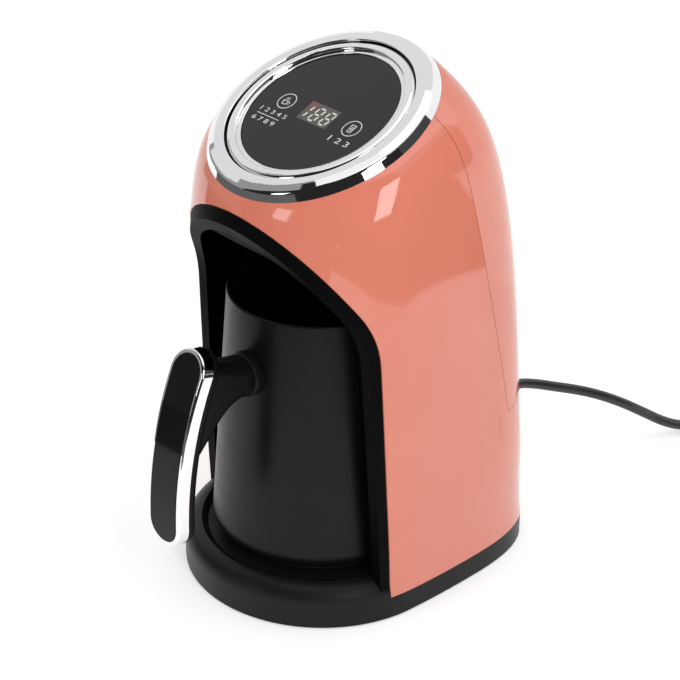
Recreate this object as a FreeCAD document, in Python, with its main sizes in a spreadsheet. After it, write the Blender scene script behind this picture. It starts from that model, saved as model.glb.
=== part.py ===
import FreeCAD, Part
import math
import os
import re
import Sketcher
from types import SimpleNamespace

# Electric coffee pot heater with a lift-out pot.
# Frame: millimetres, +Z up, the pot's axis on Z, the open front towards -Y, the floor at Z = 0.

Vector = FreeCAD.Vector
Rotation = FreeCAD.Rotation
Placement = FreeCAD.Placement

SIZES = {
    # housing, seen from above: a half round front and a square-cornered back
    "body_half_width": 65.0,
    "body_front": 63.7,
    "body_back": 93.4,
    "back_squareness": 4.0,
    "shell_foot": 11.7,
    "shell_wall": 2.5,
    # crown: the slanting circle that closes the housing
    "crown_radius": 52.6,
    "crown_y": 2.1,
    "crown_z": 220.1,
    "crown_tilt": 25.64,
    "tilt_growth": 0.6,
    # how the sides, the front and the back draw in towards the crown
    "side_fullness": 16.0,
    "side_round": 0.8,
    "front_lean": 0.515,
    "front_fullness": 1.9,
    "front_round": 0.5,
    "back_lean": 0.482,
    "back_fullness": 3.9,
    "back_round": 1.16,
    "corner_hold": 12.0,
    # arch of the open front, as a line seen from the side
    "arch_foot_y": -13.0,
    "arch_bend_y": -18.6,
    "arch_bend_z": 143.4,
    "arch_top_slope": 32.3,
    "arch_bend_radius": 50.0,
    "flange_reach": 4.6,
    "flange_wall": 5.1,
    "flange_inset": 0.4,
    # rear cover
    "seam_y": 61.6,
    "seam_z": 75.3,
    "seam_lean": 14.9,
    "cover_foot": 79.0,
    "seam_gap": 0.25,
    "lip_thick": 1.8,
    "lip_reach": 5.0,
    # bay for the pot
    "bay_side": 5.8,
    "bay_roof": 163.0,
    "roof_front_y": -30.0,
    "roof_slope": 29.0,
    "liner_wall": 2.2,
    "fit_gap": 0.2,
    # base
    "skirt_foot": 0.8,
    "tray_top": 20.6,
    "tray_round": 8.0,
    "tray_ceiling": 16.2,
    "tray_wall": 3.0,
    "deck_thick": 2.5,
    "dish_radius": 53.0,
    "dish_depth": 2.0,
    "hob_hole": 41.6,
    "foot_pad_tall": 1.6,
    "foot_pad_radius": 7.0,
    "foot_pad_inset": 21.0,
    "foot_pad_front": -28.0,
    "foot_pad_back": 68.0,
    "cover_plate_thick": 2.0,
    "cover_plate_gap": 0.2,
    "boss_radius": 4.0,
    "screw_radius": 1.4,
    "screw_head": 2.8,
    "screw_head_tall": 1.2,
    "screw_length": 5.4,
    "screw_gap": 0.1,
    "front_screw_x": 36.0,
    "front_screw_y": -38.0,
    "back_screw_x": 46.0,
    "back_screw_y": 54.0,
    # heater
    "plate_radius": 39.0,
    "plate_top": 20.3,
    "plate_thick": 3.0,
    "plate_bore": 8.0,
    "seal_lip_radius": 43.6,
    "seal_lip_thick": 0.8,
    "element_ring": 26.0,
    "element_tube": 3.4,
    "terminal_x": 8.0,
    "terminal_radius": 1.8,
    "terminal_foot": 4.4,
    "terminal_hole": 2.6,
    "bracket_low": 8.2,
    "bracket_thick": 1.2,
    "bracket_bore": 12.0,
    "bracket_radius": 37.0,
    "leg_half_width": 5.0,
    "leg_thick": 3.0,
    "post_ring": 31.0,
    "post_radius": 4.0,
    "fuse_radius": 2.2,
    "fuse_length": 14.0,
    "fuse_y": -14.0,
    "fuse_gap": 0.25,
    "clip_half_width": 3.0,
    "clip_half_deep": 3.6,
    "clip_tall": 5.6,
    # sprung probe in the middle of the hot plate
    "probe_radius": 6.5,
    "probe_cap": 1.4,
    "probe_gap": 0.1,
    "probe_pressed": 1.6,
    "stem_radius": 2.92,
    "stem_foot": 6.4,
    "guide_bore": 3.0,
    "guide_foot": 10.0,
    "guide_shelf": 13.2,
    "guide_well": 6.9,
    "guide_radius": 7.9,
    "guide_top": 18.7,
    "guide_flange": 10.4,
    "guide_flange_thick": 1.7,
    "circlip_radius": 4.4,
    "circlip_thick": 1.2,
    "spring_wire": 0.7,
    "spring_radius": 4.9,
    "spring_turns": 4.0,
    # crown ring and panel, heights measured square to the crown
    "bezel_radius": 52.8,
    "bezel_shoulder": 50.6,
    "bezel_shoulder_rise": 3.6,
    "bezel_shoulder_round": 2.4,
    "bezel_crest": 46.0,
    "bezel_crest_rise": 5.2,
    "bezel_crest_round": 6.0,
    "bezel_bore": 43.1,
    "bezel_bore_rise": 4.6,
    "edge_round": 0.4,
    "inner_ring_radius": 42.4,
    "inner_ring_rise": 4.4,
    "inner_ring_round": 2.0,
    "inner_lip_radius": 37.8,
    "inner_lip_rise": 2.9,
    "inner_ring_bore": 36.0,
    "glass_radius": 35.75,
    "glass_thick": 2.35,
    "window_x": 1.2,
    "window_y": -2.2,
    "window_wide": 18.4,
    "window_tall": 11.4,
    "window_gap": 0.1,
    "carrier_thick": 2.2,
    "carrier_bore": 31.0,
    "board_radius": 41.0,
    "board_gap": 6.4,
    "board_thick": 1.6,
    "board_post_place": 25.8,
    "board_post_radius": 3.2,
    "key_x": 21.0,
    "key_y": -2.1,
    "key_pad_radius": 4.4,
    "buzzer_radius": 6.0,
    "buzzer_tall": 8.0,
    "buzzer_y": 12.0,
    "module_half_wide": 11.0,
    "module_half_tall": 7.0,
    "cable_radius": 1.5,
    "cable_x": 12.0,
    "cable_y": 28.0,
    # sensor in the bay's roof
    "sensor_x": 2.0,
    "sensor_y": -24.0,
    "sensor_radius": 2.6,
    "sensor_proud": 1.0,
    "sensor_holder": 4.5,
    "sensor_holder_tall": 6.0,
    # power board and what stands on it
    "power_board_y": 65.0,
    "power_board_half": 32.0,
    "relay_wide": 19.0,
    "relay_deep": 15.5,
    "relay_tall": 15.0,
    "transformer_wide": 21.0,
    "transformer_deep": 17.0,
    "transformer_tall": 18.0,
    "capacitor_radius": 5.0,
    "capacitor_length": 14.0,
    "block_half": 12.0,
    "block_tall": 12.0,
    "block_back": 78.0,
    "clamp_half": 8.0,
    "clamp_thick": 4.0,
    "power_board_top": 78.0,
    # pot
    "pot_foot": 20.4,
    "pot_foot_radius": 51.1,
    "pot_rim_radius": 41.3,
    "pot_rim": 140.5,
    "pot_wall": 1.6,
    "pot_floor_thick": 4.0,
    "pot_foot_round": 8.0,
    # handle
    "handle_turn": 2.0,
    "handle_reach": 93.15,
    "grip_bend": 175.0,
    "grip_low": 45.5,
    "grip_high": 134.5,
    "grip_bend_z": 52.0,
    "grip_half_width": 10.6,
    "inlay_half_width": 8.75,
    "inlay_thick": 2.0,
    "inlay_proud": 0.3,
    "frame_round": 1.2,
    "back_step": 0.4,
    "back_round_over": 3.0,
    "frame_deep": 6.0,
    "grip_deep": 11.2,
    "collar_z": 112.0,
    "collar_radius": 10.2,
    "collar_thick": 3.0,
    "neck_half_width": 7.8,
    "neck_corner": 5.5,
    "handle_screw_radius": 2.0,
    "handle_screw_head": 4.0,
    "handle_screw_length": 18.0,
    # mains cord
    "cord_radius": 2.6,
    "cord_z": 42.0,
    "cord_out_y": 118.0,
    "relief_root": 5.4,
    "relief_tip": 3.6,
    "relief_neck": 4.4,
    "relief_flange": 7.0,
    "relief_flange_thick": 2.0,
    "relief_grooves": 5.0,
    "lead_radius": 1.2,
    "lead_z": 5.6,
    "lead_rise_y": 63.7,
    "lead_hole": 3.2,
    "coil_x": 82.0,
    "coil_y": 242.0,
    "coil_radius": 29.7,
    "coil_step": 5.9,
    "coil_turns": 3.5,
    "plug_half_width": 18.0,
    "plug_half_tall": 8.5,
    "plug_length": 32.0,
    "plug_round": 6.0,
    "plug_relief": 30.0,
    "plug_relief_root": 5.0,
    "plug_relief_tip": 3.0,
    "pin_radius": 2.4,
    "pin_length": 19.0,
    "pin_spacing": 19.0,
}

doc = FreeCAD.newDocument("coffee_maker")
sheet = doc.addObject("Spreadsheet::Sheet", "sizes")
for row, (name, value) in enumerate(SIZES.items(), 1):
    sheet.set(f"A{row}", name)
    sheet.set(f"B{row}", str(value))
    sheet.setAlias(f"B{row}", name)
doc.recompute()
s = SimpleNamespace(**{name: float(sheet.get(name)) for name in SIZES})

BIG = 400.0
NODES = []
BAY_HALF = s.body_half_width - s.bay_side
CROWN = Placement(Vector(0, s.crown_y, s.crown_z), Rotation(Vector(1, 0, 0), s.crown_tilt))


# Shared helpers

def bound(text):
    """The same formula with every name read from the sheet."""
    return re.sub(r"\b(?!sin\b|cos\b|tan\b|sqrt\b)([a-z][a-z0-9_]*)\b", r"sizes.\1", text)


def value(text):
    return float(sheet.evalExpression(text))


def bind(target, prop, text):
    target.setExpression(prop, bound(text))


def node(obj, label):
    obj.Label = label
    NODES.append(obj)
    return obj


def piece(label, shape):
    """A sub-part whose form no sketch or primitive gives."""
    feature = doc.addObject("Part::Feature", label)
    feature.Shape = shape
    return node(feature, label)


def new_body(label):
    body = doc.addObject("PartDesign::Body", label)
    body.AllowCompound = True
    return node(body, label)


def new_sketch(body, role, name, height=None):
    """A sketch on one of the body's own origin planes, or level with it."""
    plane = next(item for item in body.Origin.OriginFeatures if item.Role == role)
    sketch = body.newObject("Sketcher::SketchObject", name)
    sketch.AttachmentSupport = (plane, "")
    sketch.MapMode = "FlatFace"
    if height is not None:
        bind(sketch, "AttachmentOffset.Base.z", height)
    return sketch


def place_point(sketch, index, which, x, y):
    for kind, text in (("DistanceX", x), ("DistanceY", y)):
        rule = Sketcher.Constraint(kind, -1, 1, index, which, value(text))
        bind(sketch, f"Constraints[{sketch.addConstraint(rule)}]", text)


def draw_outline(sketch, corners):
    """A closed outline of straight edges; each corner is two formulas."""
    first = sketch.GeometryCount
    count = len(corners)
    spots = [Vector(value(x), value(y), 0) for x, y in corners]
    for i in range(count):
        sketch.addGeometry(Part.LineSegment(spots[i], spots[(i + 1) % count]))
    for i in range(count):
        sketch.addConstraint(Sketcher.Constraint("Coincident", first + i, 2, first + (i + 1) % count, 1))
    for i, (x, y) in enumerate(corners):
        place_point(sketch, first + i, 1, x, y)


def draw_circle(sketch, x, y, radius):
    index = sketch.addGeometry(Part.Circle(Vector(value(x), value(y), 0), Vector(0, 0, 1), value(radius)))
    place_point(sketch, index, 3, x, y)
    rule = Sketcher.Constraint("Radius", index, value(radius))
    bind(sketch, f"Constraints[{sketch.addConstraint(rule)}]", radius)


def draw(sketch, outlines):
    """Circles are three formulas; anything else is a list of corners."""
    for outline in outlines:
        if isinstance(outline[0], str):
            draw_circle(sketch, *outline)
        else:
            draw_outline(sketch, outline)


def block(x0, x1, y0, y1):
    return [(x0, y0), (x1, y0), (x1, y1), (x0, y1)]


def turned(label, corners, role="XZ_Plane"):
    """A piece turned about its own Z axis from a profile of radius and height."""
    body = new_body(label)
    sketch = new_sketch(body, role, label + "_profile")
    draw_outline(sketch, corners)
    turn = body.newObject("PartDesign::Revolution", label + "_turn")
    turn.Profile = sketch
    turn.ReferenceAxis = (sketch, ["V_Axis"])
    turn.Angle = 360
    doc.recompute()
    return body


def stacked(label, layers, cuts=(), role="XY_Plane"):
    """A piece made of level pads, and pockets cut down from their tops."""
    body = new_body(label)
    for number, (outlines, low, high) in enumerate(layers):
        sketch = new_sketch(body, role, f"{label}_outline{number}", low)
        draw(sketch, outlines)
        pad = body.newObject("PartDesign::Pad", f"{label}_pad{number}")
        pad.Profile = sketch
        pad.Length = value(f"({high}) - ({low})")
        bind(pad, "Length", f"({high}) - ({low})")
    for number, (outlines, low, high) in enumerate(cuts):
        doc.recompute()
        before = body.Shape.Volume
        sketch = new_sketch(body, role, f"{label}_opening{number}", high)
        draw(sketch, outlines)
        pocket = body.newObject("PartDesign::Pocket", f"{label}_pocket{number}")
        pocket.Profile = sketch
        pocket.Length = value(f"({high}) - ({low})")
        bind(pocket, "Length", f"({high}) - ({low})")
        doc.recompute()
        if body.Shape.Volume > before - 0.01:
            raise ValueError(f"{label}: opening {number} cuts nothing")
    doc.recompute()
    return body


def round_rings(body, places, radius):
    """Round the circular edges that lie at the given radius and height."""
    base = body.Tip
    names = []
    for ring, height in places:
        for i, edge in enumerate(base.Shape.Edges, 1):
            curve = edge.Curve
            if isinstance(curve, Part.Circle) and abs(curve.Radius - value(ring)) < 0.02 \
                    and abs(curve.Center.z - value(height)) < 0.02:
                names.append(f"Edge{i}")
    fillet = body.newObject("PartDesign::Fillet", f"{body.Name}_round{len(body.Group)}")
    fillet.Base = (base, names)
    fillet.Radius = value(radius)
    bind(fillet, "Radius", radius)
    doc.recompute()
    if not names or fillet.Shape.isNull():
        raise ValueError(f"{body.Name}: no edge to round")
    return fillet


def seat_on_crown(body):
    """Lay a piece made in the crown's own frame onto the slanting crown."""
    body.Placement = CROWN
    bind(body, "Placement.Base.y", "crown_y")
    bind(body, "Placement.Base.z", "crown_z")
    bind(body, "Placement.Rotation.Angle", "crown_tilt")
    return body


def box(x0, x1, y0, y1, z0, z1):
    return Part.makeBox(x1 - x0, y1 - y0, z1 - z0, Vector(x0, y0, z0))


def rod(radius, start, way, length):
    return Part.makeCylinder(radius, length, Vector(*start), Vector(*way))


def side_prism(corners, half=BIG):
    """A prism across the machine from an outline in the Y-Z plane."""
    points = [Vector(-half, y, z) for y, z in corners]
    face = Part.Face(Part.makePolygon(points + points[:1]))
    return face.extrude(Vector(2 * half, 0, 0))


# Form of the housing

LOFT_STATIONS = (0.0, 0.1, 0.25, 0.4, 0.55, 0.7, 0.82, 0.91, 0.97, 1.0)
POINTS_ROUND = 48


def draw_in(u, fullness, roundness):
    """One at the foot, nought at the crown, with a rounded shoulder."""
    return (1 - u ** fullness) ** roundness


def housing_section(u, inset=0.0):
    """Closed outline of the housing at the share u of its height."""
    half = s.crown_radius + (s.body_half_width - s.crown_radius) * draw_in(u, s.side_fullness, s.side_round)
    crown_run = s.crown_radius * math.cos(math.radians(s.crown_tilt))
    front_share = s.front_lean * (1 - u) + (1 - s.front_lean) * draw_in(u, s.front_fullness, s.front_round)
    back_share = s.back_lean * (1 - u) + (1 - s.back_lean) * draw_in(u, s.back_fullness, s.back_round)
    front_end = crown_run - s.crown_y
    back_end = crown_run + s.crown_y
    tilt = math.radians(s.crown_tilt * u ** s.tilt_growth)
    centre_y = s.crown_y * u
    centre_z = s.shell_foot + (s.crown_z - s.shell_foot) * u
    front = (front_end + (s.body_front - front_end) * front_share + centre_y) / math.cos(tilt)
    back = (back_end + (s.body_back - back_end) * back_share - centre_y) / math.cos(tilt)
    square = 2 + (s.back_squareness - 2) * (1 - u ** s.corner_hold)
    points = []
    for step in range(POINTS_ROUND):
        angle = 2 * math.pi * step / POINTS_ROUND - math.pi / 2
        across, along = math.cos(angle), math.sin(angle)
        power = 2 / (square if along > 0 else 2.0)
        x = (half - inset) * math.copysign(abs(across) ** power, across)
        reach = (back if along > 0 else front) - inset
        v = reach * math.copysign(abs(along) ** power, along)
        points.append(Vector(x, centre_y + v * math.cos(tilt), centre_z + v * math.sin(tilt)))
    curve = Part.BSplineCurve()
    curve.interpolate(Points=points, PeriodicFlag=True)
    return Part.Wire(curve.toShape())


def housing_solid(inset):
    """The housing's form drawn in by a wall, from its foot to its crown."""
    return Part.makeLoft([housing_section(u, inset) for u in LOFT_STATIONS], True, False)


def plan_prism(inset, low, high):
    """The housing's footprint as an upright prism."""
    section = housing_section(0.0, inset)
    section.translate(Vector(0, 0, low - s.shell_foot))
    return Part.Face(section).extrude(Vector(0, 0, high - low))


def arch_region(reach):
    """All that lies in front of the arch, its line moved forward by reach."""
    lower = Vector(0, s.arch_bend_y - s.arch_foot_y, s.arch_bend_z - s.shell_foot)
    lower.normalize()
    slope = math.radians(s.arch_top_slope)
    upper = Vector(0, -math.sin(slope), math.cos(slope))
    turn = lower.getAngle(upper)
    forward_low = Vector(0, -lower.z, lower.y)
    forward_high = Vector(0, -upper.z, upper.y)
    bend = Vector(-BIG, s.arch_bend_y, s.arch_bend_z)
    bend += (forward_low + forward_high) * (reach / (1 + forward_low.dot(forward_high)))
    radius = s.arch_bend_radius - reach
    cut = radius * math.tan(turn / 2)
    start = bend - lower * cut
    end = bend + upper * cut
    centre = start + forward_low * radius
    middle = centre + (bend - centre).normalize() * radius
    foot = bend - lower * (s.arch_bend_z + 20)
    top = bend + upper * 90
    far_top = Vector(-BIG, -BIG, top.z)
    far_foot = Vector(-BIG, -BIG, foot.z)
    edges = [
        Part.makeLine(foot, start),
        Part.Arc(start, middle, end).toShape(),
        Part.makeLine(end, top),
        Part.makeLine(top, far_top),
        Part.makeLine(far_top, far_foot),
        Part.makeLine(far_foot, foot),
    ]
    return Part.Face(Part.Wire(edges)).extrude(Vector(2 * BIG, 0, 0))


def bay_prism(grow, low, high):
    """The bay's plan: straight sides and a round back, grown by a wall."""
    half = BAY_HALF + grow
    return box(-half, half, -BIG, 0, low, high).fuse(Part.makeCylinder(half, high - low, Vector(0, 0, low)))


def under_roof(grow):
    """All that lies below the bay's roof, grown by a wall."""
    slope = math.radians(s.roof_slope)
    roof = s.bay_roof + grow
    knee = s.roof_front_y + grow * math.tan(math.pi / 4 - slope / 2)
    rise = 60.0
    return side_prism([
        (BIG, -10), (BIG, roof), (knee, roof),
        (knee - rise * math.tan(slope), roof + rise),
        (-BIG, roof + rise), (-BIG, -10),
    ])


def bay_cavity():
    inner = housing_solid(s.flange_inset + s.flange_wall)
    return inner.common(bay_prism(0, 0, BIG)).common(under_roof(0))


def seam_region(gap):
    """Where the rear cover lies, drawn in by a gap along its seam."""
    lean = math.tan(math.radians(s.seam_lean))

    def seam_at(z):
        return s.seam_y - lean * (z - s.seam_z) + gap
    low = s.cover_foot + gap
    return side_prism([(seam_at(low), low), (BIG, low), (BIG, BIG), (seam_at(BIG), BIG)])


OUTER = housing_solid(0.0)
INNER = housing_solid(s.shell_wall)


# Cord helpers

def tangent_route(points, report=None):
    """Straight runs joined by arcs as large as the runs beside them allow."""
    spots = [Vector(*p) for p in points]
    edges = []
    radii = []
    last = spots[0]
    for before, corner, after in zip(spots, spots[1:], spots[2:]):
        back = (before - corner)
        ahead = (after - corner)
        shorter = min(back.Length, ahead.Length)
        back.normalize()
        ahead.normalize()
        turn = math.pi - back.getAngle(ahead)
        cut = 0.45 * shorter
        radius = cut / math.tan(turn / 2)
        start = corner + back * cut
        end = corner + ahead * cut
        inward = (back + ahead).normalize()
        middle = corner + inward * (math.hypot(radius, cut) - radius)
        edges.append(Part.makeLine(last, start))
        edges.append(Part.Arc(start, middle, end).toShape())
        radii.append(radius)
        last = end
    edges.append(Part.makeLine(last, spots[-1]))
    if report:
        print(report, "bend radii", [round(r, 1) for r in radii])
    return Part.Wire(edges)


def biarc(p0, t0, p1, t1):
    """Two arcs from p0 to p1 that keep the directions t0 and t1 at their ends."""
    gap = p1 - p0
    both = t0 + t1
    a = 2 * (t0.dot(t1) - 1)
    b = -2 * gap.dot(both)
    c = gap.dot(gap)
    if abs(a) < 1e-9:
        reach = -c / b
    else:
        reach = (-b - math.sqrt(b * b - 4 * a * c)) / (2 * a)
    q0 = p0 + t0 * reach
    q1 = p1 - t1 * reach
    join = (q0 + q1) * 0.5
    return [arc_by_corner(p0, q0, join), arc_by_corner(join, q1, p1)]


def arc_by_corner(start, corner, end):
    """The arc that touches both legs of a corner with equal legs."""
    half = (start + end) * 0.5
    sag = (corner - half).Length
    if sag < 1e-6:
        return Part.makeLine(start, end)
    leg = (corner - start).Length
    width = (start - half).Length
    radius = leg * width / sag
    middle = corner + (half - corner).normalize() * (math.hypot(radius, leg) - radius)
    return Part.Arc(start, middle, end).toShape()


def wound_wire(place, start, stop, steps):
    """Biarcs along a winding given by a function of its turns."""
    small = 1e-4

    def heading(t):
        return (place(t + small) - place(t - small)).normalize()
    edges = []
    for i in range(steps):
        t0 = start + (stop - start) * i / steps
        t1 = start + (stop - start) * (i + 1) / steps
        edges += biarc(place(t0), heading(t0), place(t1), heading(t1))
    return edges


def tube(wire, radius):
    """A round tube swept along a wire, with its volume checked."""
    start = wire.Edges[0]
    way = start.tangentAt(start.FirstParameter)
    spot = start.valueAt(start.FirstParameter)
    ring = Part.Wire(Part.makeCircle(radius, spot, way))
    solid = wire.makePipeShell([ring], True, False)
    expected = math.pi * radius ** 2 * wire.Length
    if abs(solid.Volume / expected - 1) > 0.02:
        raise ValueError(f"tube volume {solid.Volume:.1f}, expected {expected:.1f}")
    return solid


def own_gap(wire, radius, apart):
    """Least gap between stretches of one tube that lie apart along it."""
    points = wire.discretize(Distance=1.5)
    skip = int(apart / 1.5)
    least = BIG
    for i, p in enumerate(points):
        for q in points[i + skip:]:
            least = min(least, p.distanceToPoint(q))
    return least - 2 * radius


# Base

def screw_places():
    """Where the base screws stand, and how high their bosses reach."""
    deck = s.shell_foot - s.deck_thick / 2
    raised = s.tray_ceiling + s.deck_thick / 2
    return [
        (-s.front_screw_x, s.front_screw_y, raised), (s.front_screw_x, s.front_screw_y, raised),
        (-s.back_screw_x, s.back_screw_y, deck), (s.back_screw_x, s.back_screw_y, deck),
    ]


def raised_front(inset, low, high):
    return plan_prism(inset, low, high).common(arch_region(inset))


def raised_floor(inset, low, high):
    """The floor of the bay, behind the arch and within the shell's wall."""
    within = plan_prism(s.shell_wall + 3 * s.fit_gap + inset, low, high)
    return bay_prism(s.liner_wall - inset, low, high).common(within).cut(arch_region(0))


def rounded_front():
    """The raised front of the tray, with its outer top edge rounded."""
    front = raised_front(0, s.skirt_foot, s.tray_top)
    rim = []
    for edge in front.Edges:
        bounds = edge.BoundBox
        if bounds.ZMin > s.tray_top - 0.01 and bounds.YMin < s.arch_foot_y - 5:
            rim.append(edge)
    return front.makeFillet(s.tray_round, rim)


TRAY_FRONT = rounded_front()
TRAY_TOP = TRAY_FRONT.fuse(raised_floor(0, s.skirt_foot, s.tray_top)).removeSplitter()
COVER_TOP = s.foot_pad_tall + s.cover_plate_thick
SCREWS = screw_places()


def build_base_tray():
    tray = plan_prism(0, s.skirt_foot, s.shell_foot).fuse(TRAY_TOP)
    tray = tray.cut(plan_prism(s.tray_wall, 0, s.shell_foot - s.deck_thick))
    tray = tray.cut(raised_front(s.tray_wall, 0, s.tray_ceiling))
    tray = tray.cut(raised_floor(s.tray_wall, 0, s.tray_ceiling))
    dish_floor = Vector(0, 0, s.tray_top - s.dish_depth)
    dish = Part.makeCone(s.dish_radius, s.dish_radius + 1.5 * s.dish_depth, s.dish_depth, dish_floor)
    tray = tray.cut(dish).cut(Part.makeCylinder(s.hob_hole, BIG))
    for x, y, top in SCREWS:
        tray = tray.fuse(rod(s.boss_radius, (x, y, COVER_TOP), (0, 0, 1), top - COVER_TOP))
        tray = tray.cut(rod(s.screw_radius + s.screw_gap, (x, y, 0), (0, 0, 1), COVER_TOP + s.screw_length))
    for x in (-s.terminal_x, s.terminal_x):
        tray = tray.cut(rod(s.lead_hole, (x, s.lead_rise_y, 0), (0, 0, 1), BIG))
    return tray.removeSplitter()


def build_bottom_cover():
    plate = plan_prism(s.tray_wall + s.cover_plate_gap, s.foot_pad_tall, COVER_TOP)
    for x, y, _ in SCREWS:
        head = rod(s.screw_head + s.screw_gap, (x, y, 0), (0, 0, 1), s.foot_pad_tall + s.screw_head_tall)
        shank = rod(s.screw_radius + s.screw_gap, (x, y, 0), (0, 0, 1), BIG)
        plate = plate.cut(head).cut(shank)
    posts = []
    for angle in (90, 210, 330):
        turn = math.radians(angle)
        foot = (s.post_ring * math.cos(turn), s.post_ring * math.sin(turn), COVER_TOP)
        posts.append(rod(s.post_radius, foot, (0, 0, 1), s.bracket_low - COVER_TOP))
    return plate.fuse(posts).removeSplitter()


def screw_circles(radius):
    places = [("front_screw_x", "front_screw_y"), ("back_screw_x", "back_screw_y")]
    return [(f"{side} * {x}", y, radius) for side in (-1, 1) for x, y in places]


def foot_circles():
    ends = ("foot_pad_front", "foot_pad_back")
    across = "(body_half_width - foot_pad_inset)"
    return [(f"{side} * {across}", y, "foot_pad_radius") for side in (-1, 1) for y in ends]


HEAD_TOP = "foot_pad_tall + screw_head_tall"
piece("base_tray", build_base_tray())
piece("bottom_cover", build_bottom_cover())
stacked("rubber_feet", [(foot_circles(), "0", "foot_pad_tall")])
stacked("bottom_screws", [
    (screw_circles("screw_head"), "foot_pad_tall", HEAD_TOP),
    (screw_circles("screw_radius"), HEAD_TOP, HEAD_TOP + " + screw_length"),
])


# Housing

def build_outer_shell():
    shell = OUTER.cut(INNER).cut(arch_region(0)).cut(seam_region(0))
    return shell.cut(rod(s.relief_neck + s.screw_gap, (0, 0, s.cord_z), (0, 1, 0), BIG))


def build_back_cover():
    """The rear panel, with a lip that runs on behind the shell's edge."""
    panel = OUTER.cut(INNER).common(seam_region(s.seam_gap))
    lip = INNER.cut(housing_solid(s.shell_wall + s.lip_thick))
    lip = lip.common(seam_region(-s.lip_reach).cut(seam_region(s.lip_reach)))
    carrier_room = Part.makeCylinder(s.crown_radius, BIG, Vector(0, 0, -s.carrier_thick - s.fit_gap))
    carrier_room.Placement = CROWN.multiply(carrier_room.Placement)
    return panel.fuse(lip.cut(carrier_room))


def build_bay_liner():
    """A thin bay round the pot, with a broad flange that fills the arch."""
    wall = housing_solid(s.shell_wall + s.fit_gap)
    wall = wall.common(bay_prism(s.liner_wall, s.tray_top, BIG)).common(under_roof(s.liner_wall))
    flange = housing_solid(s.flange_inset).common(arch_region(s.fit_gap)).cut(TRAY_FRONT)
    liner = wall.fuse(flange).cut(arch_region(s.flange_reach)).cut(bay_cavity())
    middle = (s.sensor_x, s.sensor_y, s.bay_roof - 2)
    return liner.cut(rod(s.sensor_radius + s.screw_gap, middle, (0, 0, 1), s.liner_wall + 4))


piece("outer_shell", build_outer_shell())
piece("back_cover", build_back_cover())
piece("bay_liner", build_bay_liner())


# Crown ring and control panel, made in the crown's own frame

bezel = turned("bezel_ring", [
    ("bezel_bore", "0"), ("bezel_radius", "0"), ("bezel_shoulder", "bezel_shoulder_rise"),
    ("bezel_crest", "bezel_crest_rise"), ("bezel_bore", "bezel_bore_rise"),
])
round_rings(bezel, [("bezel_shoulder", "bezel_shoulder_rise")], "bezel_shoulder_round")
round_rings(bezel, [("bezel_crest", "bezel_crest_rise")], "bezel_crest_round")
round_rings(bezel, [("bezel_bore", "bezel_bore_rise")], "edge_round")
seat_on_crown(bezel)

ring = turned("bezel_inner_ring", [
    ("inner_ring_bore", "0"), ("inner_ring_radius", "0"), ("inner_ring_radius", "inner_ring_rise"),
    ("inner_lip_radius", "inner_ring_rise"), ("inner_lip_radius", "inner_lip_rise"),
    ("inner_ring_bore", "inner_lip_rise"),
])
RING_TOP = [("inner_ring_radius", "inner_ring_rise"), ("inner_lip_radius", "inner_ring_rise")]
round_rings(ring, RING_TOP[:1], "inner_ring_round")
round_rings(ring, RING_TOP[1:], "edge_round * 3")
round_rings(ring, [("inner_ring_bore", "inner_lip_rise")], "edge_round")
seat_on_crown(ring)

SIGNS = (-1, 1)
POSTS = [(f"{side} * board_post_place", f"{end} * board_post_place") for side in SIGNS for end in SIGNS]
BOARD_TOP = "-1 * board_gap"
BOARD_LOW = "-1 * board_gap - board_thick"
CARRIER_LOW = "-1 * carrier_thick"


def post_circles(radius):
    return [(x, y, radius) for x, y in POSTS]


def window(gap):
    """The display window, drawn in by a gap."""
    half_wide = f"window_wide / 2 - {gap}"
    half_tall = f"window_tall / 2 - {gap}"
    return block(
        f"window_x - ({half_wide})", f"window_x + {half_wide}",
        f"window_y - ({half_tall})", f"window_y + {half_tall}",
    )


MODULE = block(
    "window_x - module_half_wide", "window_x + module_half_wide",
    "window_y - module_half_tall", "window_y + module_half_tall",
)
KEYS = [("window_x - key_x", "key_y", "key_pad_radius"), ("window_x + key_x", "key_y", "key_pad_radius")]
seat_on_crown(stacked(
    "panel_glass", [([("0", "0", "glass_radius")], "0", "glass_thick")],
    [([window("0")], "0", "glass_thick")],
))
seat_on_crown(stacked("display_lens", [([window("window_gap")], "0", "glass_thick")]))
seat_on_crown(stacked("display_module", [([MODULE], BOARD_TOP, "0")]))
seat_on_crown(stacked("touch_pads", [(KEYS, BOARD_TOP, "0")]))
seat_on_crown(stacked(
    "panel_carrier",
    [
        ([("0", "0", "crown_radius - shell_wall - fit_gap"), ("0", "0", "carrier_bore")], CARRIER_LOW, "0"),
        (post_circles("board_post_radius"), BOARD_TOP, CARRIER_LOW + " + 0.2"),
    ],
    [(post_circles("screw_radius + screw_gap"), BOARD_TOP, CARRIER_LOW)],
))
seat_on_crown(stacked(
    "touch_board", [([("0", "0", "board_radius")], BOARD_LOW, BOARD_TOP)],
    [(post_circles("screw_radius + screw_gap"), BOARD_LOW, BOARD_TOP)],
))
seat_on_crown(stacked("board_screws", [
    (post_circles("screw_head"), BOARD_LOW + " - screw_head_tall", BOARD_LOW),
    (post_circles("screw_radius"), BOARD_LOW, CARRIER_LOW + " - 0.4"),
]))
seat_on_crown(stacked("buzzer", [
    ([("0", "buzzer_y", "buzzer_radius")], BOARD_LOW + " - buzzer_tall", BOARD_LOW),
]))


# Heater

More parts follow.
